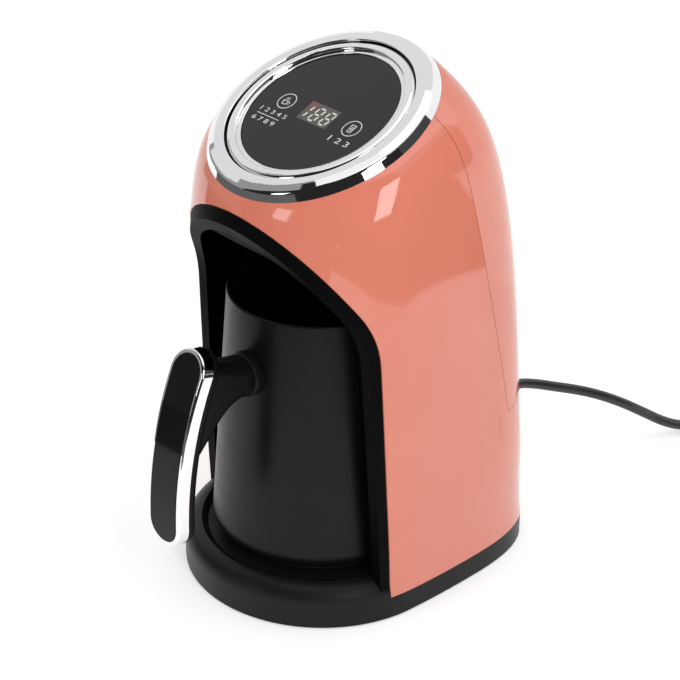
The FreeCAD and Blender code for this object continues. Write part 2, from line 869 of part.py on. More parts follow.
PLATE_LOW = "plate_top - plate_thick"
DISH = "tray_top - dish_depth"
SEAL_LOW = "plate_top - 1.3 * plate_thick"
SEAL_TOP = DISH + " + seal_lip_thick"
turned("heating_plate", [
    ("plate_bore", PLATE_LOW), ("plate_radius", PLATE_LOW),
    ("plate_radius", "plate_top"), ("plate_bore", "plate_top"),
])
turned("plate_seal", [
    ("plate_radius", SEAL_LOW), ("hob_hole - fit_gap", SEAL_LOW), ("hob_hole - fit_gap", DISH),
    ("seal_lip_radius", DISH), ("seal_lip_radius", SEAL_TOP), ("plate_radius", SEAL_TOP),
])
ELEMENT_Z = s.plate_top - s.plate_thick - s.element_tube
TERMINAL_Y = math.sqrt(s.element_ring ** 2 - s.terminal_x ** 2)


def build_element():
    ring = Part.makeTorus(s.element_ring, s.element_tube, Vector(0, 0, ELEMENT_Z))
    ends = []
    for x in (-s.terminal_x, s.terminal_x):
        foot = (x, TERMINAL_Y, s.terminal_foot)
        ends.append(rod(s.terminal_radius, foot, (0, 0, 1), ELEMENT_Z - s.terminal_foot))
    return ring.fuse(ends)


def build_bracket():
    """A ring on the cover's posts that carries the hot plate on three legs."""
    ring = Part.makeCylinder(s.bracket_radius, s.bracket_thick, Vector(0, 0, s.bracket_low))
    leg = box(s.bracket_radius - s.leg_thick, s.bracket_radius - 0.5, -s.leg_half_width, s.leg_half_width,
              s.bracket_low, s.plate_top - s.plate_thick)
    legs = []
    for angle in (30, 150, 270):
        turned_leg = leg.copy()
        turned_leg.rotate(Vector(0, 0, 0), Vector(0, 0, 1), angle)
        legs.append(turned_leg)
    ring = ring.fuse(legs).cut(Part.makeCylinder(s.bracket_bore, BIG))
    for x in (-s.terminal_x, s.terminal_x):
        ring = ring.cut(rod(s.terminal_hole, (x, TERMINAL_Y, 0), (0, 0, 1), ELEMENT_Z))
    return ring.removeSplitter()


def build_fuse_clip():
    top = s.plate_top - s.plate_thick
    clip = box(-s.clip_half_width, s.clip_half_width, s.fuse_y - s.clip_half_deep,
               s.fuse_y + s.clip_half_deep, top - s.clip_tall, top)
    fuse_z = top - s.fuse_radius - s.fuse_gap
    return clip.cut(rod(s.fuse_radius, (-BIG / 2, s.fuse_y, fuse_z), (1, 0, 0), BIG))


piece("heating_element", build_element())
piece("heater_bracket", build_bracket())
piece("fuse_clip", build_fuse_clip())
fuse = doc.addObject("Part::Cylinder", "thermal_fuse")
fuse.Placement = Placement(Vector(0, 0, 0), Rotation(Vector(0, 1, 0), 90))
bind(fuse, "Radius", "fuse_radius")
bind(fuse, "Height", "fuse_length")
bind(fuse, "Placement.Base.x", "-1 * fuse_length / 2")
bind(fuse, "Placement.Base.y", "fuse_y")
bind(fuse, "Placement.Base.z", "plate_top - plate_thick - fuse_radius - fuse_gap")
node(fuse, "thermal_fuse")


# Sprung probe

FLANGE_LOW = PLATE_LOW + " - guide_flange_thick"
PROBE_TOP = "plate_top - probe_gap"
CAP_LOW = PROBE_TOP + " - probe_cap"
CLIP_TOP = "guide_foot - screw_gap - probe_pressed"
CLIP_LOW = CLIP_TOP + " - circlip_thick"
turned("probe_guide", [
    ("guide_bore", "guide_foot"), ("guide_radius", "guide_foot"), ("guide_radius", FLANGE_LOW),
    ("guide_flange", FLANGE_LOW), ("guide_flange", PLATE_LOW), ("guide_radius", PLATE_LOW),
    ("guide_radius", "guide_top"), ("guide_well", "guide_top"), ("guide_well", "guide_shelf"),
    ("guide_bore", "guide_shelf"),
])
probe = turned("temperature_probe", [
    ("0", "stem_foot"), ("stem_radius", "stem_foot"), ("stem_radius", CLIP_LOW), ("circlip_radius", CLIP_LOW),
    ("circlip_radius", CLIP_TOP), ("stem_radius", CLIP_TOP), ("stem_radius", CAP_LOW),
    ("probe_radius", CAP_LOW), ("probe_radius", PROBE_TOP), ("0", PROBE_TOP),
])
round_rings(probe, [("probe_radius", PROBE_TOP)], "edge_round")


def build_probe_spring():
    half_wire = s.spring_wire / 2
    low = s.guide_shelf + half_wire
    high = s.plate_top - s.probe_gap - s.probe_cap - half_wire

    def place(turns):
        angle = 2 * math.pi * turns
        height = low + (high - low) * turns / s.spring_turns
        return Vector(s.spring_radius * math.cos(angle), s.spring_radius * math.sin(angle), height)
    return tube(Part.Wire(wound_wire(place, 0, s.spring_turns, round(4 * s.spring_turns))), half_wire)


piece("probe_spring", build_probe_spring())


# Boil sensor over the pot

ROOF_TOP = "bay_roof + liner_wall"
HOLDER_TOP = ROOF_TOP + " + sensor_holder_tall"
LENS_TOP = ROOF_TOP + " + sensor_holder_tall / 2"
stacked("sensor_lens", [
    ([("sensor_x", "sensor_y", "sensor_radius")], "bay_roof - sensor_proud", LENS_TOP),
])
stacked(
    "sensor_holder", [([("sensor_x", "sensor_y", "sensor_holder")], ROOF_TOP, HOLDER_TOP)],
    [([("sensor_x", "sensor_y", "sensor_radius + screw_gap")], ROOF_TOP, LENS_TOP)],
)


# Power board and mains entry behind the bay

def boxed(label, low, size):
    """A plain block placed and sized by formulas."""
    obj = doc.addObject("Part::Box", label)
    for prop, text in zip(("Placement.Base.x", "Placement.Base.y", "Placement.Base.z"), low):
        bind(obj, prop, text)
    for prop, text in zip(("Length", "Width", "Height"), size):
        bind(obj, prop, text)
    return node(obj, label)


BOARD_BACK = "power_board_y + board_thick"
boxed("power_board", ("-1 * power_board_half", "power_board_y", "shell_foot"),
      ("2 * power_board_half", "board_thick", "power_board_top - shell_foot"))
boxed("relay", ("relay_wide * -1.5", BOARD_BACK, "power_board_top - 1.8 * relay_tall"),
      ("relay_wide", "relay_deep", "relay_tall"))
boxed("transformer", ("power_board_half - transformer_wide", BOARD_BACK, "shell_foot + 3"),
      ("transformer_wide", "transformer_deep", "transformer_tall"))
boxed("terminal_block", ("-1 * block_half", BOARD_BACK, "cord_z - block_tall / 2"),
      ("2 * block_half", "block_back - power_board_y - board_thick", "block_tall"))


def build_capacitors():
    start = s.power_board_y + s.board_thick
    places = [(-s.power_board_half / 1.6, s.shell_foot + 2 * s.capacitor_radius * k) for k in (1.0, 2.4)]
    return Part.makeCompound([
        rod(s.capacitor_radius, (x, start, z), (0, 1, 0), s.capacitor_length) for x, z in places
    ])


def surface_y(solid, height):
    """How far back a form reaches on the centre line at a given height."""
    line = Part.makeLine(Vector(0, 0, height), Vector(0, BIG, height))
    return solid.common(line).BoundBox.YMax


WALL_Y = surface_y(INNER, s.cord_z)
FLANGE_Y = WALL_Y - s.relief_flange_thick


def build_cord_clamp():
    low = s.block_back + 1.0
    pillar = box(-s.clamp_half, s.clamp_half, low, low + s.clamp_thick, s.shell_foot, s.cord_z + s.clamp_half)
    return pillar.cut(rod(s.cord_radius, (0, 0, s.cord_z), (0, 1, 0), BIG))


def build_strain_relief():
    """A grommet: a flange inside the wall, a neck through it and a grooved taper outside."""
    centre = (0, FLANGE_Y, s.cord_z)
    flange = rod(s.relief_flange, centre, (0, 1, 0), s.relief_flange_thick + 3).common(INNER)
    neck = rod(s.relief_neck, centre, (0, 1, 0), s.relief_flange_thick + s.shell_wall + 1)
    length = s.cord_out_y - WALL_Y
    taper = Part.makeCone(s.relief_root, s.relief_tip, length, Vector(0, WALL_Y, s.cord_z), Vector(0, 1, 0))
    taper = taper.cut(OUTER)
    first = WALL_Y + s.shell_wall + 5
    pitch = (s.cord_out_y - 3 - first) / s.relief_grooves
    for k in range(round(s.relief_grooves)):
        at = (0, first + k * pitch, s.cord_z)
        outer = rod(s.relief_flange, at, (0, 1, 0), pitch * 0.4)
        taper = taper.cut(outer.cut(rod(s.cord_radius + 0.6, at, (0, 1, 0), pitch * 0.4)))
    return flange.fuse([neck, taper]).removeSplitter()


def build_heater_leads():
    start_y = TERMINAL_Y + s.terminal_radius
    leads = []
    for x in (-s.terminal_x, s.terminal_x):
        route = [(x, start_y, s.lead_z), (x, s.lead_rise_y, s.lead_z), (x, s.lead_rise_y, s.shell_foot + 12)]
        leads.append(tube(tangent_route(route), s.lead_radius))
    return Part.makeCompound(leads)


def build_signal_cable():
    board_low = -s.board_gap - s.board_thick
    start = CROWN.multVec(Vector(s.cable_x, s.cable_y, board_low))
    below = CROWN.multVec(Vector(s.cable_x, s.cable_y, board_low - 20))
    end_y = s.power_board_y + s.board_thick / 2
    behind = BAY_HALF + s.liner_wall + 3.5
    route = [
        start, below, (s.cable_x, (below.y + behind) / 2 + 4, (below.z + s.bay_roof) / 2 + 2),
        (s.cable_x, behind, s.bay_roof - 4), (s.cable_x, end_y, s.bay_roof - 42),
        (s.cable_x, end_y, s.power_board_top),
    ]
    return tube(tangent_route(route), s.cable_radius)


piece("capacitors", build_capacitors())
piece("cord_clamp", build_cord_clamp())
piece("cord_tail", rod(s.cord_radius, (0, s.block_back, s.cord_z), (0, 1, 0), FLANGE_Y - s.block_back))
piece("strain_relief", build_strain_relief())
piece("heater_leads", build_heater_leads())
piece("signal_cable", build_signal_cable())


# Mains cord: a free stretch, a flat coil on the floor and a plug

CORD_ROUTE = [
    (0, 118, 42), (0, 130, 42), (2.7, 141.5, 38.6), (7.5, 152, 34.9), (13.5, 162.5, 31.7),
    (20, 172.5, 27.8), (27, 182.5, 22.4), (33.5, 192.5, 15.6), (39.2, 203, 8.2), (43.9, 214, 3.6),
    (46.4, 225.5, 2.6), (46.4, 236.8, 2.6),
]


def ease(share):
    share = min(max(share, 0), 1)
    return share * share * (3 - 2 * share)


def coil_place(turns):
    """A winding that steps in, climbs a layer and steps out, each within half a turn."""
    inward = ease(2 * turns) + ease(2 * turns - 2) - ease(2 * turns - 4) - ease(2 * turns - 6) - 1
    climb = ease(2 * turns - 3)
    radius = s.coil_radius - s.coil_step * inward
    angle = math.pi - 2 * math.pi * turns
    return Vector(s.coil_x + radius * math.cos(angle), s.coil_y + radius * math.sin(angle),
                  s.cord_radius + s.coil_step * climb)


def build_coil():
    """The coil as one tube, with straight ends one diameter long."""
    straight = Vector(0, 2 * s.cord_radius, 0)
    start = coil_place(0)
    end = coil_place(s.coil_turns)
    edges = [Part.makeLine(start - straight, start)]
    edges += wound_wire(coil_place, 0, s.coil_turns, round(4 * s.coil_turns))
    edges.append(Part.makeLine(end, end - straight))
    wire = Part.Wire(edges)
    print("coil length", round(wire.Length, 1), "least gap", round(own_gap(wire, s.cord_radius, 40), 2))
    return tube(wire, s.cord_radius), end - straight


def build_plug(tail):
    """A flat two-pin plug with rounded sides, on the floor beside the coil."""
    relief = Part.makeCone(s.plug_relief_tip, s.plug_relief_root, s.plug_relief, tail, Vector(0, -1, 0))
    front = tail.y - s.plug_relief
    body = box(tail.x - s.plug_half_width, tail.x + s.plug_half_width, front - s.plug_length, front,
               tail.z - s.plug_half_tall, tail.z + s.plug_half_tall)
    edges = [edge for edge in body.Edges if edge.BoundBox.YLength > s.plug_length - 1]
    body = body.makeFillet(s.plug_round, edges)
    pins = []
    for side in (-1, 1):
        foot = (tail.x + side * s.pin_spacing / 2, front - s.plug_length, tail.z)
        pins.append(rod(s.pin_radius, foot, (0, -1, 0), s.pin_length))
    return body.fuse(relief).removeSplitter(), Part.makeCompound(pins)


route_wire = tangent_route(CORD_ROUTE, "cord")
print("cord free length", round(route_wire.Length, 1))
piece("power_cord", tube(route_wire, s.cord_radius))
coil_tube, coil_tail = build_coil()
plug_solid, plug_pin_solids = build_plug(coil_tail)
piece("power_cord_coil", coil_tube)
piece("plug_body", plug_solid)
piece("plug_pins", plug_pin_solids)


# Pot

POT_SLOPE = "(pot_foot_radius - pot_rim_radius) / (pot_rim - pot_foot)"
POT_FLOOR = "pot_foot + pot_floor_thick"
INNER_FOOT = f"pot_foot_radius - pot_wall - pot_floor_thick * {POT_SLOPE}"
pot = turned("pot_form", [
    ("0", "pot_foot"), ("pot_foot_radius", "pot_foot"), ("pot_rim_radius", "pot_rim"),
    ("pot_rim_radius - pot_wall", "pot_rim"), (INNER_FOOT, POT_FLOOR), ("0", POT_FLOOR),
])
NODES.remove(pot)
round_rings(pot, [("pot_foot_radius", "pot_foot")], "pot_foot_round")
round_rings(pot, [(INNER_FOOT, POT_FLOOR)], "pot_foot_round - pot_wall")
round_rings(pot, [("pot_rim_radius", "pot_rim"), ("pot_rim_radius - pot_wall", "pot_rim")], "pot_wall * 0.45")

drill = doc.addObject("Part::Cylinder", "handle_screw_hole")
drill.Placement = Placement(Vector(0, 0, 0), Rotation(Vector(0, 0, 1), s.handle_turn) * Rotation(Vector(1, 0, 0), 90))
bind(drill, "Radius", "handle_screw_radius + screw_gap")
bind(drill, "Height", "handle_reach")
bind(drill, "Placement.Base.z", "collar_z")
vessel = doc.addObject("Part::Cut", "pot_vessel")
vessel.Base = pot
vessel.Tool = drill
doc.recompute()
node(vessel, "pot_vessel")


# Handle, made facing -Y and then turned a little towards +X

GRIP_CENTRE = Vector(0, s.grip_bend - s.handle_reach, s.grip_bend_z)
GRIP_LOW_ANGLE = math.asin((s.grip_low - s.grip_bend_z) / s.grip_bend)
GRIP_HIGH_ANGLE = math.asin((s.grip_high - s.grip_bend_z) / s.grip_bend)
GRIP_MIDDLE = (GRIP_LOW_ANGLE + GRIP_HIGH_ANGLE) / 2
GRIP_HALF = s.grip_bend * math.sin((GRIP_HIGH_ANGLE - GRIP_LOW_ANGLE) / 2)


def handle_piece(label, shape):
    shape.rotate(Vector(0, 0, 0), Vector(0, 0, 1), s.handle_turn)
    return piece(label, shape)


def bend_drum(depth):
    start = GRIP_CENTRE - Vector(BIG / 2, 0, 0)
    return Part.makeCylinder(s.grip_bend - depth, BIG, start, Vector(1, 0, 0))


def grip_layer(front, back, half_width, half_length):
    """A slice of the bowed grip with half round ends, between two depths."""
    straight = half_length - half_width
    slab = Part.makeBox(2 * half_width, BIG, 2 * straight, Vector(-half_width, 0, -straight))
    for end in (-straight, straight):
        slab = slab.fuse(Part.makeCylinder(half_width, BIG, Vector(0, 0, end), Vector(0, 1, 0)))
    slab.rotate(Vector(0, 0, 0), Vector(1, 0, 0), 180 - math.degrees(GRIP_MIDDLE))
    slab.translate(GRIP_CENTRE)
    return slab.removeSplitter().common(bend_drum(front).cut(bend_drum(back)))


def rim_edges(solid, depth):
    """The edges of a grip layer that lie on its face at a given depth."""
    found = []
    for edge in solid.Edges:
        spots = [edge.valueAt(edge.FirstParameter), edge.valueAt(edge.LastParameter),
                 edge.valueAt((edge.FirstParameter + edge.LastParameter) / 2)]
        reaches = [math.hypot(p.y - GRIP_CENTRE.y, p.z - GRIP_CENTRE.z) for p in spots]
        if all(abs(reach - (s.grip_bend - depth)) < 0.01 for reach in reaches):
            found.append(edge)
    return found


def build_handle_frame():
    """The bright band round the grip's face, with a pocket for the strip."""
    frame = grip_layer(s.inlay_proud, s.frame_deep, s.grip_half_width, GRIP_HALF)
    frame = frame.makeFillet(s.frame_round, rim_edges(frame, s.inlay_proud))
    half = s.inlay_half_width + s.screw_gap
    length = GRIP_HALF - s.grip_half_width + half
    return frame.cut(grip_layer(0, s.inlay_thick, half, length))


def build_handle_inlay():
    half = s.inlay_half_width
    inlay = grip_layer(0, s.inlay_thick, half, GRIP_HALF - s.grip_half_width + half)
    return inlay.makeFillet(s.edge_round, rim_edges(inlay, 0))


def neck_section(y, low, high):
    """A rounded upright section of the neck."""
    half = s.neck_half_width
    corner = s.neck_corner
    block_face = Part.makeBox(2 * half, 1, high - low, Vector(-half, y, low))
    edges = [edge for edge in block_face.Edges if edge.BoundBox.YLength > 0.5]
    face = min(block_face.makeFillet(corner, edges).Faces, key=lambda item: item.CenterOfMass.y)
    return face.OuterWire


def build_handle_core():
    """The black back of the grip and the neck that joins it to the pot."""
    grip = grip_layer(s.frame_deep, s.grip_deep, s.grip_half_width - s.back_step, GRIP_HALF - s.back_step)
    grip = grip.makeFillet(s.back_round_over, rim_edges(grip, s.grip_deep))
    front = s.collar_z
    sections = [
        neck_section(COLLAR_FRONT, front - 9.2, front + 9.2),
        neck_section(COLLAR_FRONT - 9, front - 8.8, front + 11.2),
        neck_section(COLLAR_FRONT - 16, front - 13, front + 14.2),
        neck_section(COLLAR_FRONT - 24, front - 21, front + 18),
        neck_section(COLLAR_FRONT - 34, front - 31, front + 18),
    ]
    neck = Part.makeLoft(sections, True, False).common(bend_drum(s.frame_deep))
    core = grip.fuse(neck).removeSplitter()
    return core.cut(screw_shank(s.screw_gap))


def screw_shank(gap):
    """The screw that holds the handle, from inside the pot into the neck."""
    start = -(POT_WALL_Y - s.pot_wall - 1.5)
    end = COLLAR_FRONT - s.handle_screw_length / 2
    return rod(s.handle_screw_radius + gap, (0, start, s.collar_z), (0, -1, 0), start - end)


def pot_cone(inset):
    """The pot's tapered outside as a solid, drawn in by its wall."""
    return Part.makeCone(s.pot_foot_radius - inset, s.pot_rim_radius - inset, s.pot_rim - s.pot_foot,
                         Vector(0, 0, s.pot_foot))


POT_WALL_Y = value(f"pot_foot_radius - (collar_z - pot_foot) * {POT_SLOPE}")
COLLAR_FRONT = -POT_WALL_Y - s.collar_thick


def build_collar():
    ring = rod(s.collar_radius, (0, -POT_WALL_Y + 4, s.collar_z), (0, -1, 0), s.collar_thick + 4)
    front = [edge for edge in ring.Edges if edge.BoundBox.YLength < 0.01 and edge.BoundBox.YMin < COLLAR_FRONT + 0.1]
    ring = ring.makeFillet(s.collar_thick / 2, front)
    return ring.cut(pot_cone(0)).cut(rod(s.handle_screw_radius + s.screw_gap, (0, 0, s.collar_z), (0, -1, 0), BIG))


def build_handle_screw():
    head_start = -(POT_WALL_Y - s.pot_wall - 1.5)
    head = rod(s.handle_screw_head, (0, head_start, s.collar_z), (0, -1, 0), 3.0).common(pot_cone(s.pot_wall))
    return head.fuse(screw_shank(0)).removeSplitter()


handle_piece("handle_collar", build_collar())
handle_piece("handle_core", build_handle_core())
handle_piece("handle_frame", build_handle_frame())
handle_piece("handle_inlay", build_handle_inlay())
handle_piece("handle_screw", build_handle_screw())


# Check and write every sub-part

def check_parts():
    doc.recompute()
    for obj in doc.Objects:
        faults = {"Invalid", "Error"} & set(obj.State)
        if faults:
            raise ValueError(f"{obj.Label}: {faults}")
    for obj in NODES:
        if obj.Shape.isNull() or not obj.Shape.isValid():
            raise ValueError(f"{obj.Label}: bad shape")


check_parts()
os.makedirs("parts", exist_ok=True)
for obj in NODES:
    obj.Shape.exportStep(f"parts/{obj.Label}.step")
print(len(NODES), "sub-parts written")
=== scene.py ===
# %% [markdown]
# # An electric coffee pot heater, dressed in Blender
# The CAD frame already holds every solid of the machine, in metres, where it belongs. This lesson
# gives the solids their finishes, prints the touch panel, lays the mains cord as one smooth curve
# and lights the whole as a product photograph. The Standard view shows each colour as its material
# states it; Blender's own default would turn the coral pale.

# %% Load the frame
import math

import bmesh
import bpy
from mathutils import Euler, Matrix, Vector


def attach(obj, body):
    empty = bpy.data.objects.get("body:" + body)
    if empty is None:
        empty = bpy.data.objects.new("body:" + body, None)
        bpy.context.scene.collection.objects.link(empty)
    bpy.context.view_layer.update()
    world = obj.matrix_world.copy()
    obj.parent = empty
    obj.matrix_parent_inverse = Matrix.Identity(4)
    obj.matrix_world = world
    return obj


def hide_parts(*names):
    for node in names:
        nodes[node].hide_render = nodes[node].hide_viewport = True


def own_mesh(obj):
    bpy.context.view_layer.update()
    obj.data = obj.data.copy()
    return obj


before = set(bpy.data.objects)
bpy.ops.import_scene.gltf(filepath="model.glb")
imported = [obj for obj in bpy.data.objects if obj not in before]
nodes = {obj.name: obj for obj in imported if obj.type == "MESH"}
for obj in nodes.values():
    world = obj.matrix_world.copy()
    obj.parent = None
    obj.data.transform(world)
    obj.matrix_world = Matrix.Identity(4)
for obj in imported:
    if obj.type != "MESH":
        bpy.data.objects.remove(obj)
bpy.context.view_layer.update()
bpy.context.scene.view_settings.view_transform = "Standard"

# %% [markdown]
# ## Camera
# The photograph looks down on the machine from its right front corner. Its lens is found from the
# ellipses of the round panel and of the base: a long lens, a little under a metre away.
# The place and the angles below give the same outline, so nothing in the model is bent to fit.

# %% Camera
CAMERA_PLACE = (0.58193, -0.49644, 0.5223)
CAMERA_TURN = (61.82, 0.0, 48.85)
SENSOR_WIDTH = 36.0
FOCAL_LENGTH = 102.13


def add_object(name, data):
    """Put a camera, a curve, a mesh or a lamp into the scene, at the origin."""
    made = bpy.data.objects.new(name, data)
    bpy.context.scene.collection.objects.link(made)
    return made


lens = bpy.data.cameras.new("photo_camera")
lens.sensor_width = SENSOR_WIDTH
lens.lens = FOCAL_LENGTH
camera = add_object("photo_camera", lens)
camera.location = CAMERA_PLACE
camera.rotation_euler = Euler([math.radians(angle) for angle in CAMERA_TURN])
bpy.context.scene.camera = camera
print("camera", CAMERA_PLACE, "lens", FOCAL_LENGTH, "mm")

# %% [markdown]
# ## Mains cord
# A round two-core lead of 5.2 mm leaves the strain relief, sinks to the table and runs into a flat
# storage coil with the plug beside it. A cord could be a chain of cylinders, but it is one bent
# body, so it is one NURBS curve with a round bevel: the control points pull it into smooth bends.

# %% The free stretch
CORD_RADIUS = 0.0026
FREE_STRETCH = [
    (0, 0.118, 0.042), (0, 0.130, 0.042), (0.0027, 0.1415, 0.0386), (0.0075, 0.152, 0.0349),
    (0.0135, 0.1625, 0.0317), (0.020, 0.1725, 0.0278), (0.027, 0.1825, 0.0224),
    (0.0335, 0.1925, 0.0156), (0.0392, 0.203, 0.0082), (0.0439, 0.214, 0.0036),
    (0.0464, 0.2255, 0.0026), (0.0464, 0.2368, 0.0026),
]
print("free stretch of", len(FREE_STRETCH), "points")

# %% [markdown]
# The coil starts on its outer edge, steps in twice, climbs on top of itself and steps out again,
# each within half a turn, as a lead does when it is wound by hand. A NURBS curve runs a little
# inside its points, so the points stand that little further out.

# %% The coil
COIL_MIDDLE = (0.082, 0.242)
COIL_RADIUS = 0.0297
COIL_STEP = 0.0059
COIL_TURNS = 3.5
POINTS_PER_TURN = 24


def ease(share):
    """A smooth step from nought to one."""
    share = min(max(share, 0.0), 1.0)
    return share * share * (3 - 2 * share)


def coil_point(turns):
    """The coil's point after so many turns, counted from its outer edge."""
    halves = 2 * turns
    inward = ease(halves) + ease(halves - 2) - ease(halves - 4) - ease(halves - 6) - 1
    climb = ease(halves - 3)
    radius = (COIL_RADIUS - COIL_STEP * inward) / math.cos(math.pi / POINTS_PER_TURN)
    angle = math.pi * (1 - halves)
    return (COIL_MIDDLE[0] + radius * math.cos(angle), COIL_MIDDLE[1] + radius * math.sin(angle),
            CORD_RADIUS + COIL_STEP * climb)


coil = [coil_point(k / POINTS_PER_TURN) for k in range(1, round(COIL_TURNS * POINTS_PER_TURN))]
coil_start = (FREE_STRETCH[-1][0], COIL_MIDDLE[1], CORD_RADIUS)
coil_end = (COIL_MIDDLE[0] + COIL_RADIUS + COIL_STEP, COIL_MIDDLE[1], CORD_RADIUS + COIL_STEP)
plug_end = (coil_end[0], FREE_STRETCH[-1][1], coil_end[2])
route = FREE_STRETCH + [coil_start] + coil + [coil_end, plug_end]
print("whole route of", len(route), "points")

# %% [markdown]
# A curve's box counts the radius of its points and not its bevel. So the bevel is one metre deep and
# each point is as thin as the cord: the tube is the same, and the box fits it.

# %% The cord itself
cord_line = bpy.data.curves.new("mains_cord", "CURVE")
cord_line.dimensions = "3D"
cord_line.bevel_depth = 1.0
cord_line.bevel_resolution = 5
cord_line.resolution_u = 8
cord_line.use_fill_caps = True
spline = cord_line.splines.new("NURBS")
spline.points.add(len(route) - 1)
for point, place in zip(spline.points, route):
    point.co = (*place, 1.0)
    point.radius = CORD_RADIUS
spline.order_u = 3
spline.use_endpoint_u = True
mains_cord = add_object("mains_cord", cord_line)
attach(mains_cord, "base")
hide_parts("power_cord", "power_cord_coil")

# %% [markdown]
# ## Effects that several finishes share
# Moulded grain, handling haze and colour drift each become one node group with named sockets. A
# group gives only masks and heights. The shader stays in the material, where its plain numbers
# are easy to find.

# %% Helpers for node groups
def new_group(name, inputs, output):
    """An empty group with its named number sockets, and its two end nodes."""
    group = bpy.data.node_groups.new(name, "ShaderNodeTree")
    for label, value in inputs:
        socket = group.interface.new_socket(label, in_out="INPUT", socket_type="NodeSocketFloat")
        socket.default_value = value
    group.interface.new_socket(output, in_out="OUTPUT", socket_type="NodeSocketFloat")
    return group, group.nodes.new("NodeGroupInput"), group.nodes.new("NodeGroupOutput")


def object_place(tree):
    """The place of a point in its object's own metres."""
    return tree.nodes.new("ShaderNodeTexCoord").outputs["Object"]


def noise(tree, scale, detail=2.0, roughness=0.5, stretch=None):
    """A noise texture on Object coordinates; stretch squeezes it along an axis."""
    texture = tree.nodes.new("ShaderNodeTexNoise")
    texture.inputs["Scale"].default_value = scale
    texture.inputs["Detail"].default_value = detail
    texture.inputs["Roughness"].default_value = roughness
    source = object_place(tree)
    if stretch:
        mapping = tree.nodes.new("ShaderNodeMapping")
        mapping.inputs["Scale"].default_value = stretch
        tree.links.new(source, mapping.inputs["Vector"])
        source = mapping.outputs["Vector"]
    tree.links.new(source, texture.inputs["Vector"])
    return texture


def spread(tree, source, reads, gives=(0.0, 1.0)):
    """Map a grey value from the range that it reads to the range that it gives."""
    ranger = tree.nodes.new("ShaderNodeMapRange")
    ranger.inputs["From Min"].default_value = reads[0]
    ranger.inputs["From Max"].default_value = reads[1]
    ranger.inputs["To Min"].default_value = gives[0]
    ranger.inputs["To Max"].default_value = gives[1]
    tree.links.new(source, ranger.inputs["Value"])
    return ranger.outputs["Result"]


print("helpers", new_group.__name__, object_place.__name__, noise.__name__, spread.__name__)

# %% [markdown]
# Moulded grain is the fine spark-eroded skin of satin plastic: a mould is roughened so that the
# part doesn't shine. A Voronoi pattern gives the pits and a noise makes them uneven.

# %% Moulded grain
grain, grain_in, grain_out = new_group("moulded_grain", [("Pits per metre", 2600.0)], "Height")
pits = grain.nodes.new("ShaderNodeTexVoronoi")
grain.links.new(object_place(grain), pits.inputs["Vector"])
grain.links.new(grain_in.outputs["Pits per metre"], pits.inputs["Scale"])
uneven = noise(grain, scale=900.0, detail=3.0)
blend = grain.nodes.new("ShaderNodeMath")
blend.operation = "MULTIPLY"
grain.links.new(pits.outputs["Distance"], blend.inputs[0])
grain.links.new(uneven.outputs["Fac"], blend.inputs[1])
grain.links.new(blend.outputs[0], grain_out.inputs["Height"])
print("group", grain.name)

# %% [markdown]
# Handling haze is the faint, uneven dullness that fingers and a dry cloth leave on gloss plastic,
# glass and chrome. It is broad and soft, with finer wiping streaks in it, and only moves roughness.

# %% Handling haze
haze, haze_in, haze_out = new_group("handling_haze", [("Streaks", 0.35)], "Mask")
broad = noise(haze, scale=22.0, detail=4.0, roughness=0.55)
wiped = noise(haze, scale=70.0, detail=3.0, roughness=0.6, stretch=(1.0, 0.35, 3.0))
join = haze.nodes.new("ShaderNodeMix")
haze.links.new(haze_in.outputs["Streaks"], join.inputs["Factor"])
haze.links.new(broad.outputs["Fac"], join.inputs["A"])
haze.links.new(wiped.outputs["Fac"], join.inputs["B"])
haze.links.new(spread(haze, join.outputs["Result"], reads=(0.4, 0.68)), haze_out.inputs["Mask"])
print("group", haze.name)

# %% [markdown]
# Colour drift is the small change of pigment in a moulded or coated part. A soft noise in large
# patches keeps it from looking like a pattern.

# %% Colour drift
drift, drift_in, drift_out = new_group("colour_drift", [("Patches per metre", 14.0)], "Mask")
patches = noise(drift, scale=14.0)
drift.links.new(drift_in.outputs["Patches per metre"], patches.inputs["Scale"])
drift.links.new(spread(drift, patches.outputs["Fac"], reads=(0.3, 0.7)), drift_out.inputs["Mask"])
print("group", drift.name)

# %% [markdown]
# ## Finishes
# Each finish is a material of its own, with the Principled shader at its end. The helpers below
# make the shader, mix two close colours by the drift mask, move roughness by the haze and put a
# bump under it. All lengths are metres, so a bump distance is the real depth of the relief.

# %% Helpers for materials
def use_group(tree, group, **values):
    """Place a group in a material, with its own value for each named socket."""
    box = tree.nodes.new("ShaderNodeGroup")
    box.node_tree = group
    for label, value in values.items():
        box.inputs[label.replace("_", " ")].default_value = value
    return box


def relief(material, height, depth, strength=1.0):
    """Put a height under the finish as a bump of a real depth."""
    tree = material.node_tree
    bump = tree.nodes.new("ShaderNodeBump")
    bump.inputs["Distance"].default_value = depth
    bump.inputs["Strength"].default_value = strength
    tree.links.new(height, bump.inputs["Height"])
    tree.links.new(bump.outputs["Normal"], tree.nodes["Principled BSDF"].inputs["Normal"])


